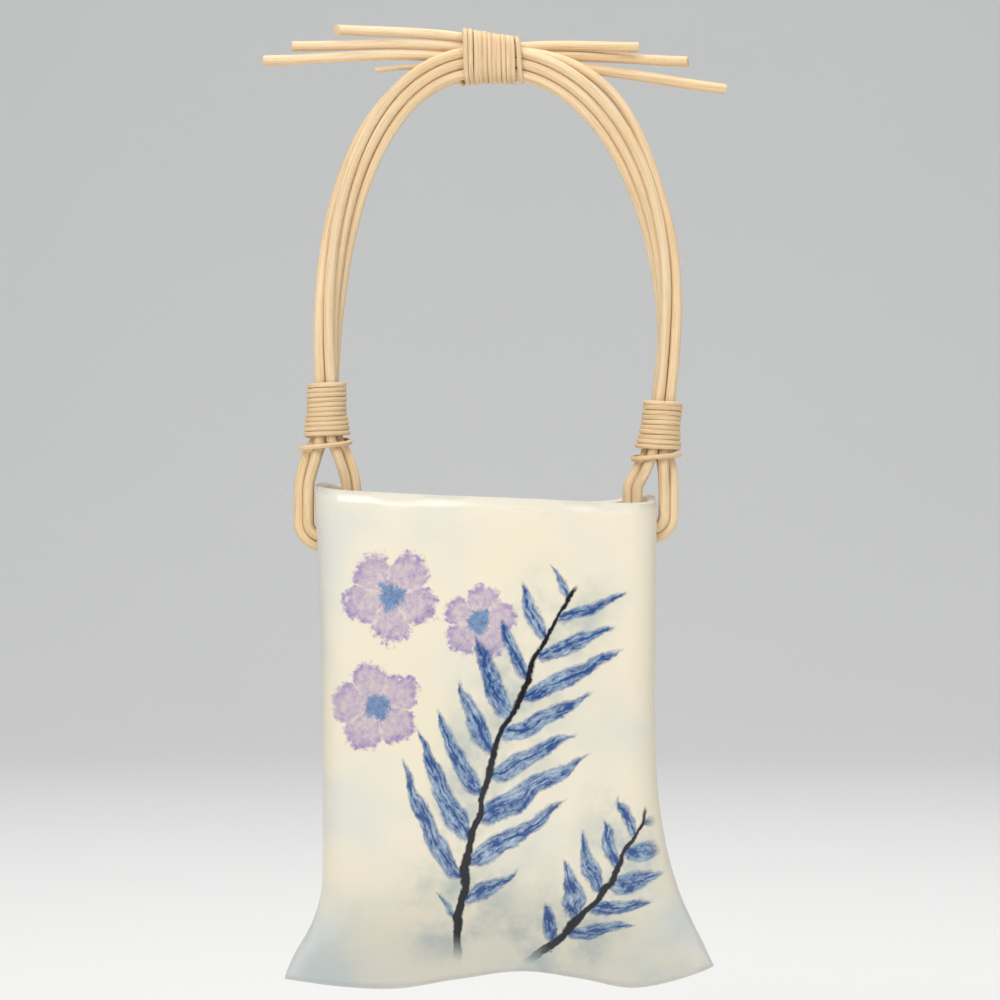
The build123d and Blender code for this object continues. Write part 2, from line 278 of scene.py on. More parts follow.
REED_NAMES = ("reed_upper", "reed_middle", "reed_lower")
PITCH = REED_DIAMETER + REED_GAP
PAIR_SET = PITCH / (2 * sqrt(3))
SINGLE_SET = PITCH / sqrt(3)
RIM_LEVEL = CROWN_HEIGHT - RIM_BELOW_CROWN


class PorcelainSettings(bpy.types.PropertyGroup):
    """The vase's glaze and painting."""

    wall: FloatProperty(
        name="Wall",
        description="Thickness of the clay slab",
        default=0.0035,
        min=0.002,
        unit="LENGTH",
    )
    cream: FloatVectorProperty(
        name="Cream Glaze",
        description="Colour of the glaze",
        default=(0.84, 0.765, 0.60),
        subtype="COLOR",
    )
    # Grey-blue of the glaze's clouds, also used as painted shade towards the hem and on the sides
    cool_glaze_and_shade: FloatVectorProperty(
        name="Cool Glaze",
        description="Glaze where it pools",
        default=(0.56, 0.63, 0.665),
        subtype="COLOR",
    )
    cobalt: FloatVectorProperty(
        name="Cobalt",
        description="Blue of the leaves",
        default=(0.020, 0.072, 0.245),
        subtype="COLOR",
    )
    sky: FloatVectorProperty(
        name="Thin Cobalt",
        description="Blue where it is thin",
        default=(0.235, 0.43, 0.64),
        subtype="COLOR",
    )
    navy: FloatVectorProperty(
        name="Stem Blue",
        description="Darkest blue of the stems",
        default=(0.001, 0.002, 0.008),
        subtype="COLOR",
    )
    lilac: FloatVectorProperty(
        name="Lilac",
        description="Petals where they are full",
        default=(0.30, 0.225, 0.46),
        subtype="COLOR",
    )
    pink: FloatVectorProperty(
        name="Pink Lilac",
        description="Petals where they are thin",
        default=(0.54, 0.40, 0.50),
        subtype="COLOR",
    )


class HandleSettings(bpy.types.PropertyGroup):
    """The reeds and the cane."""

    reed: FloatProperty(
        name="Reed",
        description="Diameter of the round reed",
        default=0.0035,
        min=0.001,
        unit="LENGTH",
    )
    cane_width: FloatProperty(
        name="Cane Width",
        description="Width of the lashing cane",
        default=0.0016,
        min=0.0005,
        unit="LENGTH",
    )
    cane_depth: FloatProperty(
        name="Cane Depth",
        description="Thickness of the lashing cane",
        default=0.00125,
        min=0.0005,
        unit="LENGTH",
    )
    straw: FloatVectorProperty(
        name="Straw",
        description="Colour of the reed",
        default=(0.83, 0.595, 0.335),
        subtype="COLOR",
    )
    pale: FloatVectorProperty(
        name="Pale Fibre",
        description="Lightest fibres of the reed",
        default=(0.90, 0.71, 0.465),
        subtype="COLOR",
    )
    brown: FloatVectorProperty(
        name="Brown Fibre",
        description="Darkest fibres of the reed",
        default=(0.36, 0.21, 0.09),
        subtype="COLOR",
    )
    cane: FloatVectorProperty(
        name="Cane",
        description="Colour of the lashing cane",
        default=(0.78, 0.53, 0.275),
        subtype="COLOR",
    )
    sides: IntProperty(name="Sides", description="Sides of a reed's mesh", default=22, min=8)


class StageSettings(bpy.types.PropertyGroup):
    """The floor, the lights and the camera."""

    floor_drop: FloatProperty(
        name="Floor Drop", description="Floor below the vase", default=0.05, min=0.0, unit="LENGTH"
    )
    distance: FloatProperty(
        name="Camera Distance",
        description="Camera in front of the handle",
        default=1.3,
        min=0.3,
        unit="LENGTH",
    )
    width: FloatProperty(
        name="Picture Width",
        description="Width seen at the handle",
        default=0.33333,
        min=0.05,
        unit="LENGTH",
    )
    centre: FloatVectorProperty(
        name="Picture Centre",
        description="Point the camera faces",
        default=(0.00267, 0, -0.13843),
        unit="LENGTH",
    )
    floor: FloatVectorProperty(
        name="Floor Colour",
        description="Colour of the floor",
        default=(0.80, 0.80, 0.79),
        subtype="COLOR",
    )


def on(side, pair):
    """The left or the right value of a pair."""
    return pair[0] if side == LEFT else pair[1]


def smooth_step(value, low, high):
    """0 below low, 1 above high, with an even rise between."""
    step = min(max((value - low) / (high - low), 0), 1)
    return step * step * (3 - 2 * step)


def between(ends, share):
    """A value between the two, or the three, ends of a run."""
    spans = len(ends) - 1
    index = min(int(share * spans), spans - 1)
    low, high = ends[index], ends[index + 1]
    return low + (high - low) * (share * spans - index)


# Routes of the reeds


def vase_edge(side, mouth_flare, hem_flare):
    """Distance of a side of the vase from x = 0."""
    mouth_lean = MOUTH_LEAN_SHARE if side == LEFT else 1 - MOUTH_LEAN_SHARE
    hem_lean = HEM_LEAN_SHARE if side == LEFT else 1 - HEM_LEAN_SHARE
    flare = (MOUTH_WIDTH - WAIST_WIDTH) * mouth_lean * mouth_flare
    flare = flare + (HEM_WIDTH - WAIST_WIDTH) * hem_lean * hem_flare
    return WAIST_WIDTH / 2 + flare - side * VASE_SHIFT


def wall_middle(side):
    """Distance from x = 0 of the middle of the side wall where its hole is."""
    hole_flare = 1 - on(side, HOLE_DEPTH) / VASE_HEIGHT * FLARE_FALL_SHARE
    return vase_edge(side, hole_flare, 0) - VASE_WALL / 2


def foot_reach(side):
    """Distance from x = 0 of the handle at the bottom of a side lashing."""
    return wall_middle(side) + on(side, FOOT_SHIFT)


def turned(side, along):
    """The outward normal of a run in the XZ plane, for a run that goes down its arch."""
    return Vector((-side * along.z, 0, side * along.x))


def arch_centre(side, share):
    """Middle of the bundle: a quarter superellipse to share 1, then the foot to share 2."""
    half_span = foot_reach(side) + on(side, ARCH_BULGE)
    foot_run = on(side, LASHING_DROP) + on(side, SIDE_LASHING_LENGTH) - on(side, ARCH_RISE)
    power = 2 / on(side, ARCH_POWER_SHARES)
    quarter = min(share, 1) * pi / 2
    reach = half_span * sin(quarter) ** power
    drop = on(side, ARCH_RISE) * (1 - cos(quarter) ** power)
    if share > 1:
        reach = half_span - on(side, ARCH_BULGE) * (share - 1) ** FOOT_POWER_SHARE
        drop = on(side, ARCH_RISE) + foot_run * (share - 1)
    return Vector((side * reach, 0, CROWN_HEIGHT - drop))


def strand_point(side, share, place, layer):
    """A strand of an arch: its place is 1 outside, 0 in the middle and -1 inside."""
    step = 0.002
    along = (arch_centre(side, share + step) - arch_centre(side, max(share - step, 0))).normalized()
    centre = arch_centre(side, share)
    twist = radians(FULL_TWIST) * min(1, (CROWN_HEIGHT - centre.z) / on(side, ARCH_RISE))
    across = place * PITCH
    depth = layer * PITCH / 2
    outward = across * cos(twist) + depth * sin(twist)
    back = depth * cos(twist) - across * sin(twist)
    if side == LEFT and layer == REAR:
        back += PITCH * (1 - smooth_step(share, *STEP_BACK_SHARES))
    if side == RIGHT and layer == REAR and place == 1:
        outward += STRAY_BOW * sin(pi * min(share / STRAY_SHARE, 1)) ** 2
    if place == 0:
        opening = OPENING_SHARE * smooth_step(share, *OPENING_SPAN_SHARES)
        outward += layer * (PAIR_SET + SINGLE_SET) * opening
    return centre + turned(side, along) * outward + Vector((0, back, 0))


def strand_node(side, share, place, layer):
    """A strand's point with the direction that it takes down the arch."""
    step = 0.01
    ahead = strand_point(side, share + step, place, layer)
    behind = strand_point(side, max(share - step, 0), place, layer)
    return strand_point(side, share, place, layer), (ahead - behind).normalized()


def arch_nodes(side, place, layer):
    """A strand from near the crown to the bottom of its side lashing."""
    return [strand_node(side, share, place, layer) for share in ARCH_SHARES + FOOT_SHARES[side]]


def leg_point(side, reach, level, place, layer, closed):
    """A strand below the lashing: reach is the pair's, and closed is 1 where it nests."""
    single = layer * (PAIR_SET + SINGLE_SET) if place == 0 else 0
    spread = PITCH - closed * PITCH / 2
    return Vector((side * (reach + single), -place * spread, level))


def loop_nodes(side, place):
    """Down the outer leg, through the hole from outside, and up the inner leg."""
    down = Vector((0, 0, -1))
    wall = wall_middle(side)
    hole_level = RIM_LEVEL - on(side, HOLE_DEPTH)
    outer = wall + on(side, OUTER_LOOP_RADIUS) - PAIR_SET
    inner = wall - on(side, INNER_LOOP_RADIUS) + PAIR_SET
    foot = foot_reach(side)
    foot_level = CROWN_HEIGHT - on(side, LASHING_DROP) - on(side, SIDE_LASHING_LENGTH)
    splay_level = foot_level - SPLAY_LENGTH
    rim_node_level = RIM_LEVEL + RIM_CLEARANCE
    pair_drop = PAIR_SET if place else -SINGLE_SET
    outer_splay = foot + PITCH / 2 + (outer - foot - PITCH / 2) * SPLAY_SHARE[REAR]
    inner_splay = foot - PITCH / 2 + (inner - foot + PITCH / 2) * SPLAY_SHARE[FRONT]
    outer_turn = hole_level + on(side, OUTER_LOOP_RADIUS)
    inner_turn = hole_level + on(side, INNER_LOOP_RADIUS)
    return [
        (leg_point(side, outer_splay, splay_level, place, REAR, SPLAY_CLOSED_SHARE), None),
        (leg_point(side, outer, rim_node_level, place, REAR, 1), down),
        (leg_point(side, outer, outer_turn, place, REAR, 1), down),
        (Vector((side * wall, -place * PITCH / 2, hole_level + pair_drop)), Vector((-side, 0, 0))),
        (leg_point(side, inner, inner_turn, place, FRONT, 1), -down),
        (leg_point(side, inner, rim_node_level, place, FRONT, 1), -down),
        (leg_point(side, inner_splay, splay_level, place, FRONT, SPLAY_CLOSED_SHARE), None),
    ]


def flipped(nodes):
    """The same nodes, walked the other way."""
    return [(point, -way if way else None) for point, way in reversed(nodes)]


def arch_way(side):
    """Direction of an arch where the free ends' runs join it."""
    ahead = arch_centre(side, ARCH_SHARES[0] * 1.1)
    return (ahead - arch_centre(side, ARCH_SHARES[0] * 0.9)).normalized()


def end_nodes(side, number, place):
    """A free end, from its tip through the top lashing to the middle of its crossing."""
    back = Vector((0, PITCH / 2 if side == LEFT else 3 * PITCH / 2, 0))
    far = arch_centre(-side, ARCH_SHARES[0])
    near = Vector((side * ENTRY_REACH, 0, CROWN_HEIGHT + on(side, ENTRY_LIFT)))
    level = Vector((-side, 0, 0))
    along = (far - near).normalized()
    face_way = (level + along).normalized()
    turning = along * 2 - arch_way(-side) - level
    middle_way = (along + turning * EASE_SHARE).normalized()
    tip_lift = CROWN_HEIGHT + on(side, END_LIFT)[number]
    tip = Vector((side * on(side, END_REACH)[number], on(side, END_SET_BACK)[number], tip_lift)) + back
    face = near + turned(-side, face_way) * (place * PITCH) + back
    middle = (far + near) * 0.5 + turned(-side, middle_way) * (place * PITCH) + back
    return [(tip, None), (face, face_way), (middle, middle_way)]


def reed_nodes(number):
    """The whole route of one reed, from its left tip to its right tip."""
    place = 1 - number
    crown = Vector((0, -PITCH / 2, CROWN_HEIGHT + place * PITCH))
    nodes = end_nodes(LEFT, number, place)
    nodes += arch_nodes(RIGHT, place, REAR)
    nodes += loop_nodes(RIGHT, place)
    nodes += flipped(arch_nodes(RIGHT, place, FRONT))
    nodes.append((crown, Vector((-1, 0, 0))))
    nodes += arch_nodes(LEFT, place, FRONT)
    nodes += flipped(loop_nodes(LEFT, place))
    nodes += flipped(arch_nodes(LEFT, place, REAR))
    nodes += flipped(end_nodes(RIGHT, number, place))
    return with_ways(nodes)


def with_ways(nodes):
    """Fill in each missing direction, along the circle through a node's neighbours."""
    points = [point for point, way in nodes]
    filled = []
    for index, (point, way) in enumerate(nodes):
        if way is None and index == 0:
            way = (points[1] - point).normalized()
        elif way is None and index == len(nodes) - 1:
            way = (point - points[-2]).normalized()
        elif way is None:
            before = point - points[index - 1]
            after = points[index + 1] - point
            way = (before / before.length**2 + after / after.length**2).normalized()
        filled.append((point, way))
    return filled


def smooth_line(nodes, step):
    """Points about a step apart on the smooth line through directed nodes."""
    points = []
    for (start, start_way), (end, end_way) in zip(nodes, nodes[1:]):
        chord = (end - start).length
        reach = chord / (3 * cos(start_way.angle(end_way) / 4) ** 2)
        count = max(3, ceil(chord / step) + 1)
        handles = start + start_way * reach, end - end_way * reach
        points += interpolate_bezier(start, *handles, end, count)[:-1]
    return points + [nodes[-1][0]]


# Routes of the cane


def arch_foot(side, level):
    """Middle of the bundle at a level in or below the side lashing."""
    foot_run = on(side, LASHING_DROP) + on(side, SIDE_LASHING_LENGTH) - on(side, ARCH_RISE)
    share = 1 + (CROWN_HEIGHT - on(side, ARCH_RISE) - level) / foot_run
    centre = arch_centre(side, share)
    return Vector((centre.x, 0, level))


def turn_jitter(turn, seed):
    """A slow unevenness of a hand-wound turn, between about -1 and 1."""
    return noise.noise(Vector((turn * 1.9, seed * 7.3, 0.5))) * 1.6


def squared(value):
    """A sine or cosine that turns a round winding into one with fuller corners."""
    return abs(value) ** TURN_POWER * (1 if value > 0 else -1)


def top_place(angle):
    """The cane of the top lashing, with its outward direction: up the back and down the front."""
    share = min(max(angle / (2 * pi * TOP_TURNS), 0), 1)
    turn = angle / (2 * pi)
    slack = TOP_SLACK * turn_jitter(turn, 1)
    along = TOP_PITCH * (turn - TOP_TURNS / 2) + TOP_DRIFT * turn_jitter(turn, 2)
    along += 1.0 * smooth_step(turn, TOP_TURNS - 1.0, TOP_TURNS - 0.55)
    along -= 0.22 * (1 - smooth_step(turn, 0.75, 1.0)) + 0.12 * (1 - smooth_step(turn, 1.75, 2.0))
    outward = Vector((0, sin(angle), -cos(angle)))
    back = PITCH / 2 + (between(TOP_HALF_DEPTH, share) + slack) * squared(sin(angle))
    half_height = between(TOP_HALF_HEIGHT, share) + slack
    level = CROWN_HEIGHT + between(TOP_CENTRE_LIFT, share) - half_height * squared(cos(angle))
    return Vector((along, back, level)), outward


def side_place(side, angle):
    """The cane of a side lashing, with its outward direction: across the front first."""
    turns = angle / (2 * pi)
    packed = on(side, SIDE_TURNS)
    start = packed if side == LEFT else packed - 0.5
    loose = smooth_step(turns, start, start + on(side, LOOSE_TURN_SHARES))
    swell = loose * on(side, LOOSE_SWELL) + SIDE_SLACK * turn_jitter(turns, side + 5)
    drop = on(side, LASHING_DROP) + CANE_PITCH * (turns + 0.5) + on(side, LOOSE_DROP) * loose
    drop += SIDE_DRIFT * turn_jitter(turns, side + 9) * (1 - loose)
    if side == RIGHT:
        drop -= LOOSE_RISE * smooth_step(turns, packed, packed + 0.5)
    spread = smooth_step(turns / packed, 0.5, 1)
    foot = arch_foot(side, CROWN_HEIGHT - drop)
    outward = (between(SIDE_HALF_WIDTH, spread) + swell) * cos(angle + pi)
    back = (between(SIDE_HALF_DEPTH, spread) + swell / 2) * sin(angle + pi)
    facing = Vector((side * cos(angle + pi), sin(angle + pi), 0))
    return foot + Vector((side * outward, back, 0)), facing


# Meshes swept along a line


def swept(line, sides, section, outward=None):
    """Corners, faces and grain of a rod along a line. Section gives a ring's offsets."""
    points = np.array([tuple(point) for point in line])
    ways = np.gradient(points, axis=0)
    ways /= np.linalg.norm(ways, axis=1)[:, None]
    along = np.concatenate(([0], np.cumsum(np.linalg.norm(np.diff(points, axis=0), axis=1))))
    normals = np.zeros_like(points)
    normal = np.array((0.0, -1.0, 0.0)) if outward is None else np.array(tuple(outward[0]))
    for index, way in enumerate(ways):
        if outward is not None:
            normal = np.array(tuple(outward[index]))
        normal = normal - way * normal.dot(way)
        normal /= np.linalg.norm(normal)
        normals[index] = normal
    sideways = np.cross(ways, normals)
    angles = np.arange(sides) * 2 * pi / sides
    up, across, forward = section(angles[None, :], along[:, None], along[-1])
    corners = points[:, None] + up[..., None] * normals[:, None]
    corners = corners + across[..., None] * sideways[:, None] + forward[..., None] * ways[:, None]
    grain = np.stack((up, across, along[:, None] + forward), axis=-1)
    rows = len(points)
    faces = []
    for row in range(rows - 1):
        for side in range(sides):
            after = (side + 1) % sides
            low, high = row * sides, (row + 1) * sides
            faces.append((low + side, low + after, high + after, high + side))
    faces.append(tuple(reversed(range(sides))))
    faces.append(tuple((rows - 1) * sides + side for side in range(sides)))
    return corners.reshape(-1, 3), faces, grain.reshape(-1, 3)


def joined(shapes):
    """Several swept shapes as one list of corners, faces and grain."""
    corners = []
    faces = []
    grain = []
    start = 0
    for shape_corners, shape_faces, shape_grain in shapes:
        corners.append(shape_corners)
        grain.append(shape_grain)
        faces += [tuple(start + corner for corner in face) for face in shape_faces]
        start += len(shape_corners)
    return np.concatenate(corners), faces, np.concatenate(grain)


def swept_object(name, shapes, material):
    """An object of swept shapes, with the grain kept on its points."""
    corners, faces, grain = joined(shapes)
    mesh = bpy.data.meshes.new(name)
    mesh.from_pydata((corners * MM).tolist(), [], faces)
    attribute = mesh.attributes.new("grain", "FLOAT_VECTOR", "POINT")
    attribute.data.foreach_set("vector", grain.astype(np.float32).ravel())
    piece = bpy.data.objects.new(name, mesh)
    bpy.context.scene.collection.objects.link(piece)
    mesh.materials.append(material)
    tidy_surface(piece, SWEPT_SMOOTH_ANGLE)
    return piece


def tidy_surface(piece, angle):
    """Face a piece's surface outwards and shade it smooth up to an angle in degrees."""
    bpy.ops.object.select_all(action="DESELECT")
    piece.select_set(True)
    bpy.context.view_layer.objects.active = piece
    bpy.ops.object.mode_set(mode="EDIT")
    bpy.ops.mesh.select_all(action="SELECT")
    bpy.ops.mesh.normals_make_consistent(inside=False)
    bpy.ops.object.mode_set(mode="OBJECT")
    bpy.ops.object.shade_smooth_by_angle(angle=radians(angle))
    piece.select_set(False)


def with_cut_ends(line):
    """The line with close rings at its two ends, where the cut edges round over."""
    first = (line[1] - line[0]).normalized()
    last = (line[-1] - line[-2]).normalized()
    start = [line[0] + first * step for step in CUT_RING_STEPS]
    end = [line[-1] - last * step for step in reversed(CUT_RING_STEPS)]

    def clear(point):
        """Whether a point is clear of both cut ends."""
        return (point - line[0]).length > CUT_ZONE and (point - line[-1]).length > CUT_ZONE

    return start + [point for point in line[1:-1] if clear(point)] + end


def reed_section(radius, slants, seed):
    """Ring offsets of a natural reed: a little uneven, fluted by its fibres, cut at a slant."""
    phases = [noise.noise(Vector((seed * 3.1, index * 5.7, 0))) * 9 for index in range(8)]

    def section(angles, along, total):
        flutes = 0.010 * np.sin(5 * angles + phases[0] + along / 90)
        flutes = flutes + 0.012 * np.sin(8 * angles + phases[1] - along / 60)
        flutes = flutes + 0.010 * np.sin(11 * angles + phases[2] + along / 120)
        oval = 0.022 * np.sin(2 * angles + phases[3] + along / 45)
        swell = 0.020 * np.sin(along / 23 + phases[4]) + 0.014 * np.sin(along / 8.7 + phases[5])
        edge = np.minimum(along, total - along)
        inward = 1 - np.minimum(edge / CUT_ROUND, 1)
        rounding = np.sqrt(np.clip(1 - inward**2, 0, 1)) * 0.16 + 0.84
        size = radius * (1 + flutes + oval + swell) * rounding
        up = size * np.cos(angles)
        across = size * np.sin(angles)
        near_start = np.clip(1 - along / CUT_SLANT_REACH, 0, 1)
        near_end = np.clip(1 - (total - along) / CUT_SLANT_REACH, 0, 1)
        forward = slants[0] * up * near_start + slants[1] * up * near_end
        return up, across, forward

    return section


def cane_section(half_depth, half_width, seed):
    """Ring offsets of split cane: round outside and flatter inside, with cut ends."""

    def section(angles, along, total):
        unevenness = 1 + 0.03 * np.sin(along / 6.1 + seed) + 0.02 * np.sin(along / 2.3 + 2 * seed)
        flutes = 1 + 0.015 * np.sin(7 * angles + along / 40)
        round_up = np.sign(np.cos(angles)) * np.abs(np.cos(angles)) ** CANE_POWER_SHARE
        round_across = np.sign(np.sin(angles)) * np.abs(np.sin(angles)) ** CANE_POWER_SHARE
        up = half_depth * round_up * unevenness * flutes
        across = half_width * round_across * unevenness * flutes
        return up, across, np.zeros_like(up)

    return section


def hair(root, way, length, bend, thickness):
    """A stray fibre that stands off a reed and tapers to nothing."""
    line = []
    way = Vector(way).normalized()
    for step in range(HAIR_STEPS + 1):
        share = step / HAIR_STEPS
        line.append(Vector(root) + way * length * share + Vector(bend) * share * share)

    def section(angles, along, total):
        size = thickness / 2 * (1 - HAIR_TAPER_SHARE * along / total)
        up = size * np.cos(angles)
        return up, size * np.sin(angles), np.zeros_like(up)

    return swept(line, HAIR_SIDES, section)


# Stray fibres: reed, root, way, length, bend and thickness
HAIRS = (
    (2, (-62.0, -3.0, -121.6), (-1, -0.2, -0.25), 5.5, (0, 0, -1.6), 0.28),
    (2, (-66.6, -1.0, -142.0), (-0.25, 0, 1), 9.5, (-2.6, 0, -0.6), 0.29),
    (2, (-66.4, -1.0, -145.0), (-1, -0.2, 0.1), 3.6, (0, 0, -0.9), 0.27),
    (0, (-50.3, -4.6, -91.0), (0.55, -0.2, 1), 7.5, (2.8, 0, -2.2), 0.30),
    (0, (-50.0, -4.6, -94.0), (1, -0.2, 0.3), 4.0, (0, 0, -1.2), 0.27),
    (0, (-57.8, -4.8, -106.0), (-1, 0, 0.1), 3.6, (0, 0, 0.8), 0.26),
    (1, (44.0, 4.0, 12.0), (1, -0.3, -0.5), 6.5, (2.0, 0, -1.6), 0.27),
    (1, (52.5, 5.0, 9.2), (0.6, -0.2, -1), 5.0, (1.8, 0, 0.5), 0.27),
    (0, (-1.5, -4.0, 16.8), (0.6, -0.2, 1), 3.8, (0.6, 0, 0), 0.26),
    (0, (7.5, -3.5, 15.4), (1, -0.2, 0.8), 3.4, (0.8, 0, -0.8), 0.27),
    (1, (60.4, -2.5, -96.0), (1, -0.2, 1), 5.2, (-1.2, 0, 0), 0.27),
    (1, (61.2, -3.5, -62.0), (0.7, -0.2, 1), 4.2, (0.8, 0, 0.2), 0.25),
)


# Shape of the vase


def curve_through(rows, column, places):
    """A smooth curve through the rows' values, read at many places at once."""
    xs = np.array([row[0] for row in rows])
    ys = np.array([row[column] for row in rows])
    slopes = np.gradient(ys, xs)
    places = np.clip(places, xs[0], xs[-1])
    index = np.clip(np.searchsorted(xs, places) - 1, 0, len(xs) - 2)
    width = xs[index + 1] - xs[index]
    share = (places - xs[index]) / width
    low, high = ys[index], ys[index + 1]
    rise_low, rise_high = slopes[index] * width, slopes[index + 1] * width
    square, cube = share**2, share**3
    start = low * (2 * cube - 3 * square + 1) + rise_low * (cube - 2 * square + share)
    return start + high * (3 * square - 2 * cube) + rise_high * (cube - square)


def section_marks():
    """The section's points: shares across and back between its corners, and unit directions."""
    marks = [(share / FRONT_COUNT, 0, 0, -1) for share in range(FRONT_COUNT)]
    corners = ((1, 0, -90), (1, 1, 0), (0, 1, 90), (0, 0, 180))
    for number, (across, back, first) in enumerate(corners):
        for step in range(CORNER_COUNT):
            angle = radians(first + 90 * step / CORNER_COUNT)
            marks.append((across, back, cos(angle), sin(angle)))
        if number == 0:
            marks += [(1, share / SIDE_COUNT, 1, 0) for share in range(SIDE_COUNT)]
        if number == 1:
            marks += [(1 - share / FRONT_COUNT, 1, 0, 1) for share in range(FRONT_COUNT)]
        if number == 2:
            marks += [(0, 1 - share / SIDE_COUNT, -1, 0) for share in range(SIDE_COUNT)]
    return np.array(marks, float)


def section_points(marks, share, inset, flatten):
    """Points of the vase's section, each at its own height share, drawn in by an inset."""
    across, back_share, side_way, back_way = marks.T
    mouth = curve_through(OUTLINE_SHARES, 1, share)
    left = -vase_edge(LEFT, mouth, curve_through(OUTLINE_SHARES, 2, share)) + inset
    right = vase_edge(RIGHT, mouth, curve_through(OUTLINE_SHARES, 3, share)) - inset
    depth = BELLY_DEPTH - (BELLY_DEPTH - MOUTH_DEPTH) * mouth
    depth = depth - (BELLY_DEPTH - SEAM_DEPTH) * curve_through(OUTLINE_SHARES, 4, share)
    rounding = np.maximum(np.minimum(SIDE_RADIUS, ROUNDING_SHARE * depth) - inset, LEAST_ROUND)
    rounding = rounding * (1 - flatten)
    front = BACK_REACH - depth + inset
    back = BACK_REACH - inset
    middle = (front + back) / 2
    front = front + (middle - front) * flatten
    back = back + (middle - back) * flatten
    bow = FRONT_BOW * depth / BELLY_DEPTH * (1 - flatten)
    x = left + rounding + (right - left - 2 * rounding) * across + side_way * rounding
    y = front + rounding + (back - front - 2 * rounding) * back_share + back_way * rounding
    y = y - bow * (1 - (2 * across - 1) ** 2) * np.maximum(-back_way, 0) * (1 - back_share)
    return x, y


def hand_marks(x, z):
    """How far the potter's hands left the front slab proud or hollow, in millimetres."""
    marks = np.zeros_like(x)
    for index in range(len(x)):
        slow = noise.noise(Vector((x[index] / DENT_SIZE, z[index] / DENT_SIZE, 3.7)))
        quick = noise.noise(Vector((x[index] / RIPPLE_SIZE, z[index] / RIPPLE_SIZE, 9.1)))
        marks[index] = DENT_DEPTH * slow + RIPPLE_DEPTH * quick
    for top_x, top_z, foot_x, foot_z in VALLEYS:
        run = np.array((foot_x - top_x, foot_z - top_z))
        length = np.hypot(*run)
        along = ((x - top_x) * run[0] + (z - top_z) * run[1]) / length**2
        beside = ((x - top_x) * run[1] - (z - top_z) * run[0]) / length
        marks += VALLEY_DEPTH * np.exp(-((beside / VALLEY_WIDTH) ** 2) - ((2 * along - 1) / 1.1) ** 4)
    return marks


def profile_rows(wall):
    """Each row of the vase's shell: height share, inset, flatten, drop, and its kind."""
    rows = []
    end_share = 1 - HEM_ROUND / VASE_HEIGHT
    for step in range(CLOSING_ROWS):
        angle = pi / 2 * (1 - step / CLOSING_ROWS)
        rows.append((end_share, 0, 1 - cos(angle), HEM_ROUND * sin(angle), "hem"))
    for step in range(OUTER_ROWS):
        rows.append((end_share * (1 - step / OUTER_ROWS), 0, 0, 0, "outer"))
    for step in range(LIP_ROWS + 1):
        angle = pi * step / LIP_ROWS
        inset = wall / 2 * (1 - cos(angle))
        rows.append((0, inset, 0, -LIP_RISE * sin(angle) ** LIP_POWER, "lip"))
    for step in range(1, INNER_ROWS + 1):
        rows.append((FLOOR_SHARE * step / INNER_ROWS, wall, 0, 0, "inner"))
    for step in range(1, CLOSING_ROWS):
        angle = pi / 2 * step / (CLOSING_ROWS - 1)
        rows.append((FLOOR_SHARE, wall, 1 - cos(angle), FLOOR_ROUND * sin(angle), "floor"))
    return rows


def shell_table(wall):
    """All the vase's points by row, with the share of each that the painter could reach."""
    marks = section_marks()
    places = []
    painted = []
    edges = []
    width = HEM_WIDTH
    left = -vase_edge(LEFT, 0, 1)
    for share, inset, flatten, drop, kind in profile_rows(wall):
        shares = np.full(len(marks), float(share))
        for _ in range(2):
            x, y = section_points(marks, shares, inset, flatten)
            across = (x - left) / width
            front_y = BACK_REACH - MOUTH_DEPTH
            to_back = np.clip((y - front_y) / MOUTH_DEPTH, 0, 1)
            front_rim = curve_through(FRONT_RIM_SHARES, 1, across)
            back_rim = curve_through(BACK_RIM_SHARES, 1, across)
            rim = RIM_WAVE * (front_rim + (back_rim - front_rim) * to_back)
            hem = HEM_WAVE * curve_through(HEM_SHARES, 1, across)
            rim_felt = (1 - smooth_step(share, 0, RIM_FADE_SHARE)) if share < RIM_FADE_SHARE else 0
            hem_felt = smooth_step(share, 1 - HEM_FADE_SHARE, 1)
            z = RIM_LEVEL - share * VASE_HEIGHT + rim * rim_felt + hem * hem_felt - drop
            shares = (RIM_LEVEL - z) / VASE_HEIGHT
        z = z - LIP_RISE * rim_felt * (1 - smooth_step(share, 0, RIM_SETTLE_SHARE))
        front_side = np.maximum(-marks[:, 3], 0) * (1 - marks[:, 1])
        if share < HAND_END_SHARE:
            y = y + hand_marks(x, z) * front_side * smooth_step(1 - share, 0.0, HAND_FADE_SHARE)
        if kind in ("outer", "lip"):
            waver = np.array([noise.noise(Vector((spot / WAVER_SIZE, 0, 4.4))) for spot in x])
            reach = LIP_BEVEL * (1 + WAVER_SHARE * waver)
            below = np.clip((RIM_LEVEL + rim - z) / reach, 0, 1)
            bevel = (1 - below) ** 2 * (BEVEL_RIGHT_SHARE + (1 - BEVEL_RIGHT_SHARE) * (1 - across))
            y = y + (BEVEL_DEPTH + WAVER_SHARE * waver) * bevel * front_side
            # Rubbed glaze and painted shade fade down over the lip's bevel
            lip_wear_and_shade = LIP_WEAR_AND_SHADE_SHARE * np.sqrt(1 - below)
        places.append(np.stack((x, y, z), axis=1))
        painted.append(front_side if kind in ("outer", "hem") else np.zeros(len(marks)))
        # Each row's rubbed glaze and painted shade, kept in the edge attribute
        row_wear_and_shade = WEAR_AND_SHADE_SHARES.get(kind, 0.0)
        edges.append(np.maximum(row_wear_and_shade, lip_wear_and_shade) if kind == "outer" else np.full(len(marks), row_wear_and_shade))
    return np.array(places), np.array(painted), np.array(edges)


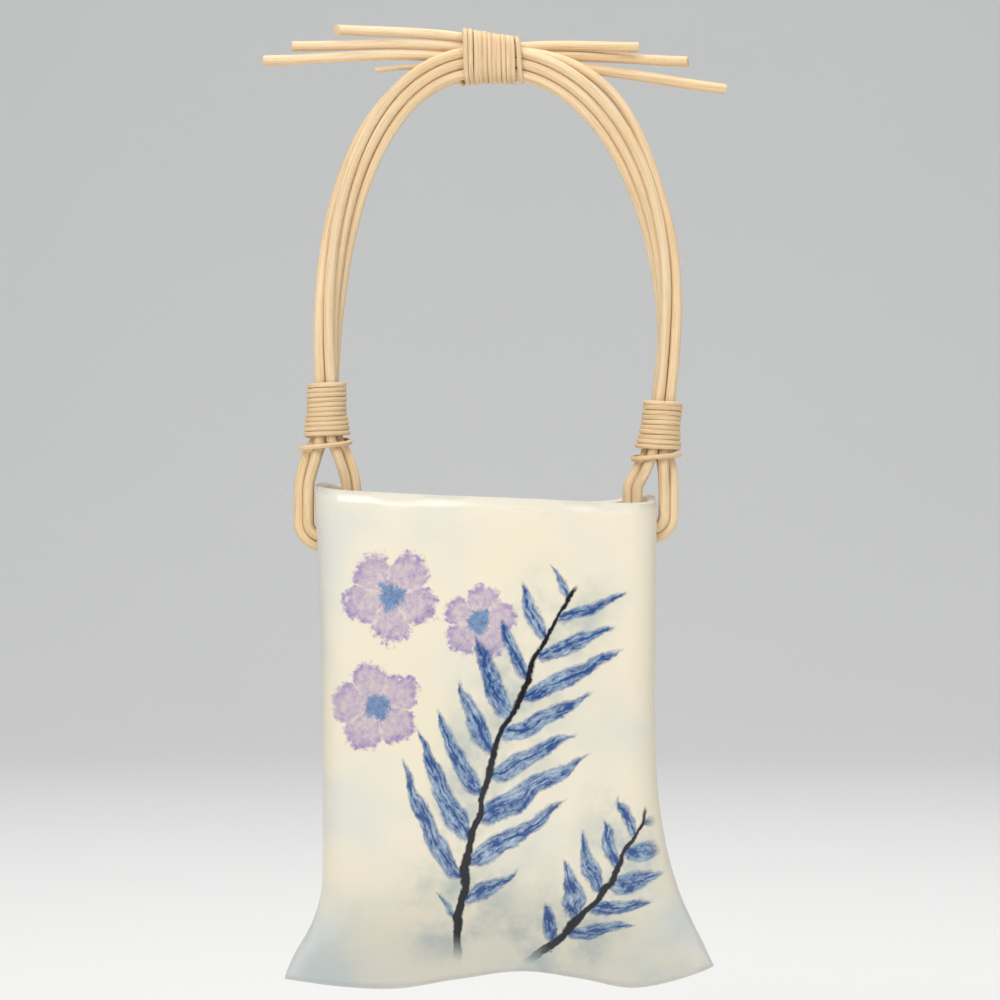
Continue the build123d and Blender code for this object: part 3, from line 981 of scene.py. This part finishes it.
def cut_into_rings(tube, length, cuts):
    """Cut across the long edges of a plain tube, up to MOST_CUTS times, and leave edit mode."""
    bpy.ops.object.mode_set(mode="EDIT")
    shape = bmesh.from_edit_mesh(tube.data)
    for edge in shape.edges:
        edge.select = abs(edge.verts[0].co.z - edge.verts[1].co.z) > length / 2
    bmesh.update_edit_mesh(tube.data)
    bpy.ops.mesh.subdivide(number_cuts=min(cuts, MOST_CUTS))
    bpy.ops.object.mode_set(mode="OBJECT")


def vase_shell(wall):
    """The vase's closed shell, shaped from one open tube."""
    places, painted, edges = shell_table(wall)
    rows, around = painted.shape
    bpy.ops.object.select_all(action="DESELECT")
    bpy.ops.mesh.primitive_cylinder_add(
        vertices=around, radius=WAIST_WIDTH / 2 * MM, depth=VASE_HEIGHT * MM, end_fill_type="NOTHING"
    )
    vase = bpy.context.object
    vase.name = "glazed_pocket"
    cut_into_rings(vase, VASE_HEIGHT * MM, rows - 2)
    half = VASE_HEIGHT * MM / 2
    reach = vase.data.attributes.new("painted", "FLOAT", "POINT")
    # The edge attribute holds rubbed glaze and painted shade on the lip and the hem
    wear_and_shade_attribute = vase.data.attributes.new("edge", "FLOAT", "POINT")
    for corner in vase.data.vertices:
        row = round((corner.co.z + half) / (2 * half) * (rows - 1))
        turn = np.arctan2(corner.co.y, corner.co.x) / (2 * pi) + SECTION_START_TURN
        mark = round(turn * around) % around
        corner.co = places[row, mark] * MM
        reach.data[corner.index].value = painted[row, mark]
        wear_and_shade_attribute.data[corner.index].value = edges[row, mark]
    bpy.ops.object.mode_set(mode="EDIT")
    bpy.ops.mesh.select_all(action="SELECT")
    bpy.ops.mesh.remove_doubles(threshold=0.02 * MM)
    bpy.ops.object.mode_set(mode="OBJECT")
    return vase


def hole_cutter(side, wall):
    """A spool as wide as a side hole, flared where the hole's edge is wiped round."""
    centre = Vector((side * wall_middle(side), 0, RIM_LEVEL - on(side, HOLE_DEPTH))) * MM
    rise = on(LEFT, HOLE_DEPTH) - on(RIGHT, HOLE_DEPTH)
    run = Vector((wall_middle(LEFT) + wall_middle(RIGHT), 0, rise))
    length = 3 * wall * MM
    bpy.ops.object.select_all(action="DESELECT")
    radius = HOLE_DIAMETER / 2 * MM
    bpy.ops.mesh.primitive_cylinder_add(vertices=HOLE_SIDES, radius=radius, depth=length)
    cutter = bpy.context.object
    cut_into_rings(cutter, length, HOLE_CUTS)
    turn = run.to_track_quat("Z", "Y")
    for corner in cutter.data.vertices:
        away = abs(corner.co.z) / (wall * MM / 2)
        flare = 1 + HOLE_FLARE * min(away, HOLE_FLARE_END_SHARE) ** 5 / (HOLE_DIAMETER / 2)
        spot = Vector((corner.co.x * flare, corner.co.y * flare, corner.co.z))
        corner.co = turn @ spot + centre
    return cutter


def cut_away(piece, cutter):
    """Cut a piece with a cutter, which is then deleted."""
    bpy.ops.object.select_all(action="DESELECT")
    piece.select_set(True)
    bpy.context.view_layer.objects.active = piece
    modifier = piece.modifiers.new("Hole", "BOOLEAN")
    modifier.operation = "DIFFERENCE"
    modifier.solver = "EXACT"
    modifier.object = cutter
    bpy.ops.object.modifier_apply(modifier=modifier.name)
    bpy.data.objects.remove(cutter)


# Shader nodes


class Value:
    """A number that varies over a surface. Each sum with it adds a Math node."""

    def __init__(self, shade, socket):
        self.shade = shade
        self.socket = socket

    def __add__(self, other):
        return self.shade.math("ADD", self, other)

    def __sub__(self, other):
        return self.shade.math("SUBTRACT", self, other)

    def __rsub__(self, other):
        return self.shade.math("SUBTRACT", other, self)

    def __mul__(self, other):
        return self.shade.math("MULTIPLY", self, other)

    def __truediv__(self, other):
        return self.shade.math("DIVIDE", self, other)

    def __pow__(self, other):
        return self.shade.math("POWER", self, other)

    def __gt__(self, other):
        return self.shade.math("GREATER_THAN", self, other)

    def __lt__(self, other):
        return self.shade.math("LESS_THAN", self, other)

    def __abs__(self):
        return self.shade.math("ABSOLUTE", self)

    def times(self, factor, extra):
        """The value times a factor, with something added."""
        return self.shade.math("MULTIPLY_ADD", self, factor, extra)


class Shade:
    """Adds nodes to a tree and joins them up."""

    def __init__(self, tree):
        self.tree = tree

    def add(self, kind, inputs=None, **settings):
        """A node with settings, and with values or sockets on its inputs."""
        node = self.tree.nodes.new("ShaderNode" + kind)
        for name, value in settings.items():
            setattr(node, name, value)
        for key, value in (inputs or {}).items():
            self.feed(node.inputs[key], value)
        return node

    def feed(self, socket, value):
        """Join a value or a socket to an input, or set the input. A colour gets full alpha."""
        if isinstance(value, Value):
            value = value.socket
        if isinstance(value, bpy.types.NodeSocket):
            self.tree.links.new(value, socket)
        elif socket.type == "RGBA":
            socket.default_value = (*value, 1.0)
        else:
            socket.default_value = value

    def value(self, node, output=0):
        """One output of a node."""
        return Value(self, node.outputs[output])

    def named(self, node):
        """All the outputs of a node, by name."""
        return {socket.name: Value(self, socket) for socket in node.outputs}

    def math(self, operation, *values, clamp=False):
        """One sum."""
        inputs = dict(enumerate(values))
        return self.value(self.add("Math", inputs, operation=operation, use_clamp=clamp))

    def vector(self, operation, *values):
        """One vector sum."""
        return self.value(self.add("VectorMath", dict(enumerate(values)), operation=operation))

    def scaled(self, vector, factor):
        """A vector times a number, or stretched by three."""
        if isinstance(factor, tuple):
            return self.vector("MULTIPLY", vector, factor)
        return self.value(self.add("VectorMath", {0: vector, "Scale": factor}, operation="SCALE"))

    def point(self, x=0.0, y=0.0, z=0.0):
        """A vector from its three parts."""
        return self.value(self.add("CombineXYZ", {0: x, 1: y, 2: z}))

    def parts(self, vector):
        """The three parts of a vector."""
        node = self.add("SeparateXYZ", {0: vector})
        return [self.value(node, index) for index in range(3)]

    def read(self, attribute, output="Fac"):
        """What a piece's mesh keeps under a name."""
        return self.value(self.add("Attribute", attribute_name=attribute), output)

    def object_place(self):
        """The place on the piece, in metres."""
        return self.value(self.add("TexCoord"), "Object")

    def ramp(self, value, low, high, to_low=0.0, to_high=1.0):
        """A smooth rise from low to high."""
        inputs = {0: value, 1: low, 2: high, 3: to_low, 4: to_high}
        return self.value(self.add("MapRange", inputs, interpolation_type="SMOOTHSTEP"))

    def noise(self, vector, scale, detail=2.0, rough=0.5, output=0):
        """A noise's value, or its colour as output 1."""
        inputs = {"Vector": vector, "Scale": scale, "Detail": detail, "Roughness": rough}
        return self.value(self.add("TexNoise", inputs), output)

    def wobble(self, vector, scale, detail, size):
        """How far an unsteady brush strays from its place."""
        colour = self.noise(vector, scale, detail, output=1)
        return self.scaled(self.vector("SUBTRACT", colour, (0.5, 0.5, 0.5)), size)

    def mix(self, factor, first, second, blend="MIX"):
        """Two colours mixed."""
        node = self.add("Mix", {0: factor, 6: first, 7: second}, data_type="RGBA", blend_type=blend)
        return self.value(node, 2)

    def bump(self, height, strength, distance):
        """A normal from a height."""
        inputs = {"Height": height, "Strength": strength, "Distance": distance}
        return self.value(self.add("Bump", inputs))


def new_group(name, inputs, outputs):
    """A node group: its helper, its inputs by name and the ends of its outputs.

    An input's default is a number, or None for a vector.
    """
    tree = bpy.data.node_groups.new(name, "ShaderNodeTree")
    for label, default in inputs.items():
        kind = "Vector" if default is None else "Float"
        socket = tree.interface.new_socket(label, in_out="INPUT", socket_type="NodeSocket" + kind)
        if default is not None:
            socket.default_value = default
    for label in outputs:
        tree.interface.new_socket(label, in_out="OUTPUT", socket_type="NodeSocketFloat")
    shade = Shade(tree)
    given = tree.nodes.new("NodeGroupInput")
    made = tree.nodes.new("NodeGroupOutput")
    return shade, shade.named(given), made.inputs


def finish_group(shade, ends, **values):
    """Join the values to the ends of a group's outputs."""
    for name, value in values.items():
        shade.feed(ends[name], value)
    return shade.tree


def use_group(shade, tree, inputs):
    """The outputs of a group placed in a tree, with its inputs set."""
    node = shade.add("Group", node_tree=tree)
    for name, value in inputs.items():
        shade.feed(node.inputs[name], value)
    return shade.named(node)


# The painting: a row for each branch and each blossom, in millimetres
BRANCH_FIELDS = ("Base", "Lean", "Height", "Bow", "Leaf Length", "Spacing", "Seed")
BRANCHES = (
    ((-12.0, -291.0, 0.0), radians(18.0), 132.0, -9.0, 31.0, 14.0, 2.0),
    ((12.0, -292.0, 0.0), radians(36.0), 66.0, 5.0, 19.0, 11.0, 31.0),
)
PETALS = 5
BLOSSOM_FIELDS = ("Centre", "Radius", "Turn", "Seed")
BLOSSOMS = (
    ((-33.0, -170.0, 0.0), 16.0, 0.3, 3.0),
    ((-4.0, -178.0, 0.0), 12.5, 1.1, 14.0),
    ((-38.0, -206.0, 0.0), 15.0, 2.0, 25.0),
)

# How the brush draws a branch, in millimetres or as shares
LEAF_CLIMB_SHARE = 0.62
LEAF_DROOP = 0.016
LEAF_FULLNESS_SHARE = 0.62
LEAF_RAG = 3.4
STEM_HALF_WIDTH = 1.55
STEM_TAPER = 0.95
STEM_RAG = 0.9
STEM_SOFTNESS = 0.35
BRANCH_TOP_SHARE = 0.985
HALO_REACH = 26.0
HALO_CORE = 5.0


def leafy_branch_group():
    """A brushed branch of pointed leaves on a bowed stem, drawn on a flat place in millimetres."""
    inputs = {
        "Place": None,
        "Base": None,
        "Lean": 0.0,
        "Height": 120.0,
        "Bow": 8.0,
        "Leaf Length": 18.0,
        "Spacing": 12.0,
        "Seed": 0.0,
    }
    shade, given, ends = new_group("Leafy Branch", inputs, ("Leaf", "Stem", "Tone", "Halo"))
    height = given["Height"]
    spacing = given["Spacing"]
    away = shade.vector("SUBTRACT", given["Place"], given["Base"])
    turning = {"Vector": away, "Angle": given["Lean"]}
    upright = shade.value(shade.add("VectorRotate", turning, rotation_type="Z_AXIS"))
    spot = shade.vector("ADD", upright, shade.point(z=given["Seed"]))
    strayed = shade.vector("ADD", shade.wobble(spot, 0.09, 1, 5.0), shade.wobble(spot, 0.7, 2, 1.1))
    side, level, _ = shade.parts(shade.vector("ADD", upright, strayed))

    # The stem bows, and leaves stand on it in turn at its left and right
    along = level / height
    held = shade.math("MULTIPLY", along, 1.0, clamp=True)
    bow = given["Bow"] * 4.0 * (held * (1.0 - held))
    off = side - bow
    right = off > 0.0
    reach = abs(off)
    shift = right * (spacing * 0.5)
    climb = reach * LEAF_CLIMB_SHARE + reach * reach * LEAF_DROOP
    foot = level - climb - shift
    number = shade.math("ROUND", foot / spacing)
    beside = foot - number * spacing
    place = (number * spacing + shift) / height
    key = number * 3.7 + right * 17.3
    chance = shade.add("TexWhiteNoise", {"W": key + given["Seed"]}, noise_dimensions="1D")
    luck = shade.add("SeparateColor", {0: shade.value(chance, 1)})

    # A leaf's length and width
    taper = 1.0 - place * place * 0.66
    size = shade.ramp(place, 0.04, 0.24) * taper * (place < BRANCH_TOP_SHARE)
    size = size * shade.value(luck, 0).times(0.35, 0.82)
    length = shade.math("MAXIMUM", given["Leaf Length"] * size, 0.01)
    share = reach / length
    body = share**LEAF_FULLNESS_SHARE * (1.0 - share)
    width = body * (spacing * shade.value(luck, 1).times(0.22, 1.12))
    width = width * shade.math("MINIMUM", size, 1.0)

    # Its ragged edge and streaks
    streak = shade.noise(shade.point(reach * 0.5, foot, key), 0.9, 3, 0.6)
    edge = width + (streak - 0.5) * LEAF_RAG - abs(beside)
    leaf = shade.ramp(edge, -0.7, 1.2) * shade.ramp(share, 1.02, 0.9) * (size > 0.04)
    leaf = leaf * shade.ramp(level, -1.0, 3.0)
    blotch = shade.noise(spot, 0.16, 3, 0.6)
    rib = shade.ramp(abs(beside), 0.9, 0.0)
    tone = streak.times(2.4, blotch.times(1.9, -1.82)) - rib * 0.35
    tone = shade.math("SUBTRACT", tone, shade.ramp(edge, 1.6, 0.2, 0.0, 0.22), clamp=True)

    half = held.times(-STEM_TAPER, STEM_HALF_WIDTH)
    rag = (shade.noise(spot, 0.3, 3) - 0.5) * STEM_RAG
    stem = shade.ramp(half + rag - reach, -STEM_SOFTNESS, STEM_SOFTNESS)
    stem = stem * shade.ramp(along, 1.0, 0.97) * shade.ramp(level, -2.0, 9.0)
    halo = shade.ramp(reach, HALO_REACH, HALO_CORE) * shade.ramp(along, 1.08, 0.9)
    halo = halo * shade.ramp(level, -12.0, 8.0)
    return finish_group(shade, ends, Leaf=leaf, Stem=stem, Tone=tone, Halo=halo)


def open_blossom_group():
    """A brushed open blossom of five round petals, drawn on a flat place in millimetres."""
    inputs = {"Place": None, "Centre": None, "Radius": 14.0, "Turn": 0.0, "Seed": 0.0}
    shade, given, ends = new_group("Open Blossom", inputs, ("Petal", "Heart", "Tone"))
    away = shade.vector("SUBTRACT", given["Place"], given["Centre"])
    spot = shade.vector("ADD", away, shade.point(z=given["Seed"]))
    strayed = shade.vector("ADD", shade.wobble(spot, 0.16, 2, 6.0), shade.wobble(spot, 0.9, 3, 2.6))
    x, y, _ = shade.parts(shade.vector("ADD", away, strayed))
    reach = shade.value(shade.add("VectorMath", {0: shade.point(x, y)}, operation="LENGTH"), 1)
    share = reach / given["Radius"]
    angle = shade.math("ARCTAN2", y, x) + given["Turn"]
    lobe = abs(shade.math("COSINE", angle * (PETALS / 2)))
    edge = (lobe**0.55).times(0.34, 0.66) - share
    cloud = shade.noise(spot, 0.55, 4, 0.65)
    petal = shade.ramp(edge + cloud.times(0.34, -0.17), -0.06, 0.10)
    furrow = shade.ramp(lobe, 0.30, 0.0)
    rays = shade.noise(shade.point(angle * 3.2, share, given["Seed"]), 2.2, 3, 0.6)
    rim = shade.ramp(edge, 0.30, 0.02)
    tone = cloud.times(1.3, -0.35) + rays * 0.35 + rim * 0.28
    tone = shade.math("SUBTRACT", tone, furrow * 0.35, clamp=True)
    heart = shade.ramp(rays.times(0.34, 0.12) - share, -0.06, 0.08)
    return finish_group(shade, ends, Petal=petal, Heart=heart, Tone=tone)


def painted_with(shade, tree, flat, fields, rows):
    """The outputs of each copy of a motif."""
    return [use_group(shade, tree, {"Place": flat, **dict(zip(fields, row))}) for row in rows]


def plant_fibre_group():
    """Lengthwise fibres of reed and cane: streak, line, pore and height."""
    inputs = {"Grain": None, "Fineness": 1.0}
    shade, given, ends = new_group("Plant Fibre", inputs, ("Streak", "Line", "Pore", "Height"))
    place = shade.scaled(given["Grain"], given["Fineness"])

    def stretched(stretch, *details):
        """A noise drawn out along the fibres."""
        return shade.noise(shade.scaled(place, stretch), *details)

    broad = stretched((1.0, 1.0, 0.018), 1.1, 3, 0.55)
    narrow = stretched((1.0, 1.0, 0.012), 4.2, 3, 0.6)
    patch = stretched((0.25, 0.25, 0.05), 1.0, 2)
    pore = shade.ramp(stretched((1.0, 1.0, 0.22), 5.0, 2, 0.7), 0.66, 0.74)
    streak = shade.math("ADD", (broad - 0.5).times(2.6, 0.5), patch.times(0.8, -0.4), clamp=True)
    line = shade.ramp(narrow, 0.52, 0.68)
    height = narrow * -1.0 - pore * 0.5
    return finish_group(shade, ends, Streak=streak, Line=line, Pore=pore, Height=height)


def new_material(name, plain):
    """An empty material, a helper that fills it, and its surface with some plain values."""
    material = bpy.data.materials.new(name)
    material.use_nodes = True
    tree = material.node_tree
    surface = next(node for node in tree.nodes if node.type == "BSDF_PRINCIPLED")
    for label, value in plain.items():
        surface.inputs[label].default_value = value
    return material, Shade(tree), surface


def fibre_material(name, base, fineness, settings):
    """Dry reed or cane."""
    plain = {"Specular IOR Level": 0.35, "Subsurface Weight": 0.0}
    material, shade, surface = new_material(name, plain)
    tree = bpy.data.node_groups.get("Plant Fibre") or plant_fibre_group()
    fibre = use_group(shade, tree, {"Grain": shade.read("grain", "Vector"), "Fineness": fineness})
    brown = settings.brown
    colour = shade.mix(fibre["Streak"], base, settings.pale)
    colour = shade.mix(fibre["Line"] * 0.42, colour, brown)
    colour = shade.mix(fibre["Pore"] * 0.35, colour, brown)
    stain = shade.noise(shade.object_place(), 22.0, 3, 0.6)
    colour = shade.mix(shade.ramp(stain, 0.45, 0.85, 0.0, 0.35), colour, brown, "SOFT_LIGHT")
    shade.feed(surface.inputs["Base Color"], colour)
    shade.feed(surface.inputs["Roughness"], fibre["Streak"].times(-0.12, 0.66))
    shade.feed(surface.inputs["Normal"], shade.bump(fibre["Height"], 0.8, 0.25 * MM))
    return material


REED_FINENESS = 1.0
CANE_FINENESS = 1.6

# Colours of the clay where the glaze is thin, of its rubbed edges darkened with painted shade, and of
# the corners' wash
CLAY_SPECK = (0.62, 0.52, 0.38)
RUBBED_AND_SHADED_EDGE = (0.46, 0.43, 0.39)
CORNER_WASH = (0.70, 0.79, 0.88)


def porcelain_material(settings):
    """Cream glaze over white clay, with brushed branches and blossoms under it."""
    plain = {
        "Coat Roughness": 0.06,
        "Subsurface Weight": 0.08,
        "Subsurface Radius": (0.004, 0.003, 0.002),
        "Subsurface Scale": 0.6,
    }
    material, shade, surface = new_material("glazed porcelain", plain)
    place = shade.scaled(shade.object_place(), 1 / MM)
    x, _, z = shade.parts(place)
    flat = shade.point(x, z)
    painted = shade.ramp(shade.read("painted"), 0.55, 0.95)
    # Edge: rubbed glaze on the lip and the hem, which also carries painted shade there
    edge = shade.read("edge")

    # Cool clouds in the glaze, painted shade at the hem and the sides, thin glaze in specks and on
    # shaded edges
    cloud = shade.noise(place, 0.022, 3, 0.5)
    speck = shade.noise(place, 0.55, 4, 0.7)
    low = shade.ramp(z, -262.0, -300.0)
    sides = shade.ramp(abs(x), 34.0, 62.0)
    # Painted shade: the same grey-blue is mixed in towards the hem and on the sides
    cool_glaze_and_shade = shade.ramp(cloud, 0.42, 0.72, 0.0, 0.35) + low * 0.3
    cool_glaze_and_shade = shade.math("ADD", cool_glaze_and_shade, sides * shade.ramp(cloud, 0.45, 0.7, 0.0, 0.2), clamp=True)
    colour = shade.mix(cool_glaze_and_shade, settings.cream, settings.cool_glaze_and_shade)
    colour = shade.mix(shade.ramp(speck, 0.60, 0.80, 0.0, 0.10), colour, CLAY_SPECK)
    # Painted shade: the lip and the hem are darkened grey over the rubbed glaze
    colour = shade.mix(edge * 0.5, colour, RUBBED_AND_SHADED_EDGE)

    # Pale washes lie under the painting
    branches = painted_with(shade, leafy_branch_group(), flat, BRANCH_FIELDS, BRANCHES)
    blossoms = painted_with(shade, open_blossom_group(), flat, BLOSSOM_FIELDS, BLOSSOMS)
    water = shade.noise(flat, 0.05, 4, 0.6)
    for branch in branches:
        wash = branch["Halo"] * shade.ramp(water, 0.38, 0.72, 0.04, 0.62) * painted
        colour = shade.mix(wash, colour, settings.sky, "MULTIPLY")
    corner = low * shade.ramp(abs(x), 26.0, 60.0) * painted * shade.ramp(water, 0.4, 0.7, 0.0, 0.4)
    colour = shade.mix(corner, colour, CORNER_WASH, "MULTIPLY")

    for blossom in blossoms:
        tone = blossom["Tone"]
        amount = blossom["Petal"] * tone.times(0.72, 0.34)
        colour = shade.mix(amount * painted, colour, shade.mix(tone, settings.pink, settings.lilac))
        heart = blossom["Heart"] * painted * 0.88
        colour = shade.mix(heart, colour, shade.mix(tone, settings.cobalt, settings.sky))
    for branch in branches:
        tone = branch["Tone"]
        leaf = branch["Leaf"] * tone.times(-0.42, 1.0) * painted
        colour = shade.mix(leaf, colour, shade.mix(tone, settings.cobalt, settings.sky))
        colour = shade.mix(branch["Stem"] * painted, colour, settings.navy)
    shade.feed(surface.inputs["Base Color"], colour)

    peel = shade.noise(place, 0.32, 3, 0.5)
    grit = shade.noise(place, 1.6, 2, 0.5)
    shade.feed(surface.inputs["Roughness"], peel.times(0.10, 0.12) + edge * 0.55)
    shade.feed(surface.inputs["Coat Weight"], edge.times(-0.15, 0.15))
    shade.feed(surface.inputs["Normal"], shade.bump(grit.times(0.12, peel), 0.22, 0.4 * MM))
    return material


def plain_floor_material(colour):
    """A matt pale floor with the faintest mottling."""
    material, shade, surface = new_material("pale floor", {"Roughness": 0.8})
    mottle = shade.noise(shade.object_place(), 3.0, 3, 0.5)
    darker = tuple(part * 0.97 for part in colour)
    shade.feed(surface.inputs["Base Color"], shade.mix(mottle, colour, darker))
    return material


# Operators


class WALL_VASE_OT_body(bpy.types.Operator):
    """Shapes the glazed porcelain pocket with its two side holes"""

    bl_idname = "wall_vase.body"
    bl_label = "Porcelain Body"
    bl_options = {"REGISTER", "UNDO"}

    def execute(self, context):
        settings = context.scene.wall_vase_porcelain
        wall = settings.wall / MM
        vase = vase_shell(wall)
        for side in (LEFT, RIGHT):
            cut_away(vase, hole_cutter(side, wall))
        vase.data.materials.append(porcelain_material(settings))
        tidy_surface(vase, VASE_SMOOTH_ANGLE)
        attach(vase, "vase")
        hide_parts("vase_body")
        return {"FINISHED"}


class WALL_VASE_OT_reeds(bpy.types.Operator):
    """Bends the three long reeds of the handle"""

    bl_idname = "wall_vase.reeds"
    bl_label = "Bent Reeds"
    bl_options = {"REGISTER", "UNDO"}

    def execute(self, context):
        settings = context.scene.wall_vase_handle
        material = fibre_material("dry reed", settings.straw, REED_FINENESS, settings)
        for number, name in enumerate(REED_NAMES):
            line = with_cut_ends(smooth_line(reed_nodes(number), REED_STEP))
            slants = on(LEFT, CUT_SLANT_SHARES)[number], on(RIGHT, CUT_SLANT_SHARES)[number]
            section = reed_section(settings.reed / MM / 2, slants, number + 1)
            shapes = [swept(line, settings.sides, section)]
            shapes += [hair(*rest) for owner, *rest in HAIRS if owner == number]
            reed = swept_object(name.replace("reed_", "bent_reed_"), shapes, material)
            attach(reed, "handle")
            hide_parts(name)
        return {"FINISHED"}


class WALL_VASE_OT_lashings(bpy.types.Operator):
    """Winds the three lashings of thin cane"""

    bl_idname = "wall_vase.lashings"
    bl_label = "Cane Lashings"
    bl_options = {"REGISTER", "UNDO"}

    def execute(self, context):
        settings = context.scene.wall_vase_handle
        material = fibre_material("thin cane", settings.cane, CANE_FINENESS, settings)
        half_depth = settings.cane_depth / MM / 2
        half_width = settings.cane_width / MM / 2
        top_end = (TOP_TURNS - TOP_TURNS_LEFT_OFF) * 2 * pi
        routes = {"lashing_top": (top_place, radians(TAIL_TURN), top_end)}
        for side, name in ((LEFT, "lashing_left"), (RIGHT, "lashing_right")):
            routes[name] = (partial(side_place, side), 0, (on(side, SIDE_TURNS) + 1) * 2 * pi)
        for seed, (name, (place, first, last)) in enumerate(routes.items()):
            count = round((last - first) / (2 * pi) * CANE_TURN_STEPS)
            wound = [place(first + (last - first) * step / count) for step in range(count + 1)]
            line = [point for point, outward in wound]
            facing = [outward for point, outward in wound]
            if name == "lashing_top":
                tail = [
                    (Vector((-reach, PITCH / 2, CROWN_HEIGHT + lift)), None)
                    for reach, lift in zip(TAIL_REACH, TAIL_LIFT)
                ]
                tail.append((line[0], (line[1] - line[0]).normalized()))
                lead = smooth_line(with_ways(tail), TAIL_STEP)[:-1]
                line = lead + line
                facing = [Vector((0, 1, 0))] * len(lead) + facing
            end_way = (line[-1] - line[-2]).normalized()
            line += [line[-1] + end_way * step for step in CANE_END_STEPS]
            facing += [facing[-1]] * len(CANE_END_STEPS)
            section = cane_section(half_depth, half_width, seed + 1)
            shape = swept(line, CANE_SIDES, section, facing)
            lashing = swept_object(name.replace("lashing", "wound_cane"), [shape], material)
            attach(lashing, "handle")
            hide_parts(name)
        return {"FINISHED"}


# The floor sweeps up behind the vase, in metres
FLOOR_SIZE = 16
FLOOR_STRIPS = (8, 120)
SWEEP_START = 2.0
SWEEP_RADIUS = 1.6

# Each light: name, place, the point it faces or None for the picture's middle, size, watts, colour
LIGHTS = (
    ("key", (-0.5, -1.35, 0.95), None, 0.9, 16.5, (1.0, 0.985, 0.965)),
    ("fill", (0.65, -1.3, 0.95), None, 0.8, 5.5, (0.96, 0.98, 1.0)),
    ("top", (0.1, 0.5, 1.5), (0, 1.4, -0.3), 1.6, 26, (1.0, 0.99, 0.97)),
)
ROOM_COLOUR = (0.93, 0.96, 1.0, 1)
ROOM_STRENGTH = 0.40
SENSOR_WIDTH = 36
CLIP_START = 0.05
CLIP_END = 50


def add_light(name, place, target, size, power, colour):
    """A soft square light that faces a point."""
    bpy.ops.object.light_add(type="AREA", location=place)
    light = bpy.context.object
    light.name = name
    light.data.size = size
    light.data.energy = power
    light.data.color = colour
    light.rotation_mode = "QUATERNION"
    light.rotation_quaternion = (Vector(target) - Vector(place)).to_track_quat("-Z", "Y")


class WALL_VASE_OT_stage(bpy.types.Operator):
    """Sets the plain floor, the soft lights and the camera"""

    bl_idname = "wall_vase.stage"
    bl_label = "Stage"
    bl_options = {"REGISTER", "UNDO"}

    def execute(self, context):
        settings = context.scene.wall_vase_stage
        floor_level = CAD_BOX[0][2] - settings.floor_drop
        bpy.ops.object.select_all(action="DESELECT")
        across, back = FLOOR_STRIPS
        bpy.ops.mesh.primitive_grid_add(
            x_subdivisions=across, y_subdivisions=back, size=FLOOR_SIZE, location=(0, 0, floor_level)
        )
        floor = bpy.context.object
        floor.name = "floor"
        for corner in floor.data.vertices:
            past = max(corner.co.y - SWEEP_START, 0)
            angle = min(past / SWEEP_RADIUS, pi / 2)
            rest = past - angle * SWEEP_RADIUS
            if past:
                corner.co.y = SWEEP_START + SWEEP_RADIUS * sin(angle)
                corner.co.z = SWEEP_RADIUS * (1 - cos(angle)) + rest
        floor.data.materials.append(plain_floor_material(settings.floor))
        bpy.ops.object.shade_smooth()

        middle = tuple(settings.centre)
        for name, place, target, *look in LIGHTS:
            add_light(name, place, target or middle, *look)
        world = bpy.data.worlds.new("soft room")
        world.use_nodes = True
        background = world.node_tree.nodes["Background"]
        background.inputs[0].default_value = ROOM_COLOUR
        background.inputs[1].default_value = ROOM_STRENGTH
        context.scene.world = world
        context.scene.view_settings.view_transform = "Standard"

        bpy.ops.object.camera_add(location=(middle[0], -settings.distance, middle[2]))
        camera = bpy.context.object
        camera.name = "camera"
        camera.rotation_mode = "QUATERNION"
        camera.rotation_quaternion = Vector((0, 1, 0)).to_track_quat("-Z", "Y")
        camera.data.sensor_width = SENSOR_WIDTH
        camera.data.lens = camera.data.sensor_width * settings.distance / settings.width
        camera.data.clip_start = CLIP_START
        camera.data.clip_end = CLIP_END
        context.scene.camera = camera
        return {"FINISHED"}


class WALL_VASE_PT_panel(bpy.types.Panel):
    """Lists the vase's pieces and settings"""

    bl_idname = "WALL_VASE_PT_panel"
    bl_label = "Hanging Wall Vase"
    bl_space_type = "VIEW_3D"
    bl_region_type = "UI"
    bl_category = "Wall Vase"

    def draw(self, context):
        for label, kind in (
            ("wall_vase.body", "wall_vase_porcelain"),
            ("wall_vase.reeds", "wall_vase_handle"),
            ("wall_vase.lashings", None),
            ("wall_vase.stage", "wall_vase_stage"),
        ):
            box = self.layout.box()
            box.operator(label)
            if kind:
                settings = getattr(context.scene, kind)
                for name in settings.__annotations__:
                    box.prop(settings, name)


CLASSES = (
    PorcelainSettings,
    HandleSettings,
    StageSettings,
    WALL_VASE_OT_body,
    WALL_VASE_OT_reeds,
    WALL_VASE_OT_lashings,
    WALL_VASE_OT_stage,
    WALL_VASE_PT_panel,
)


def register():
    """Registers the classes and the scene's settings."""
    for each in CLASSES:
        bpy.utils.register_class(each)
    bpy.types.Scene.wall_vase_porcelain = PointerProperty(type=PorcelainSettings)
    bpy.types.Scene.wall_vase_handle = PointerProperty(type=HandleSettings)
    bpy.types.Scene.wall_vase_stage = PointerProperty(type=StageSettings)


def unregister():
    """Takes the settings and the classes away."""
    del bpy.types.Scene.wall_vase_stage
    del bpy.types.Scene.wall_vase_handle
    del bpy.types.Scene.wall_vase_porcelain
    for each in reversed(CLASSES):
        bpy.utils.unregister_class(each)


def main():
    """Builds the vase."""
    register()
    bpy.ops.wall_vase.stage()
    bpy.ops.wall_vase.body()
    bpy.ops.wall_vase.reeds()
    bpy.ops.wall_vase.lashings()


if __name__ == "__main__":
    main()
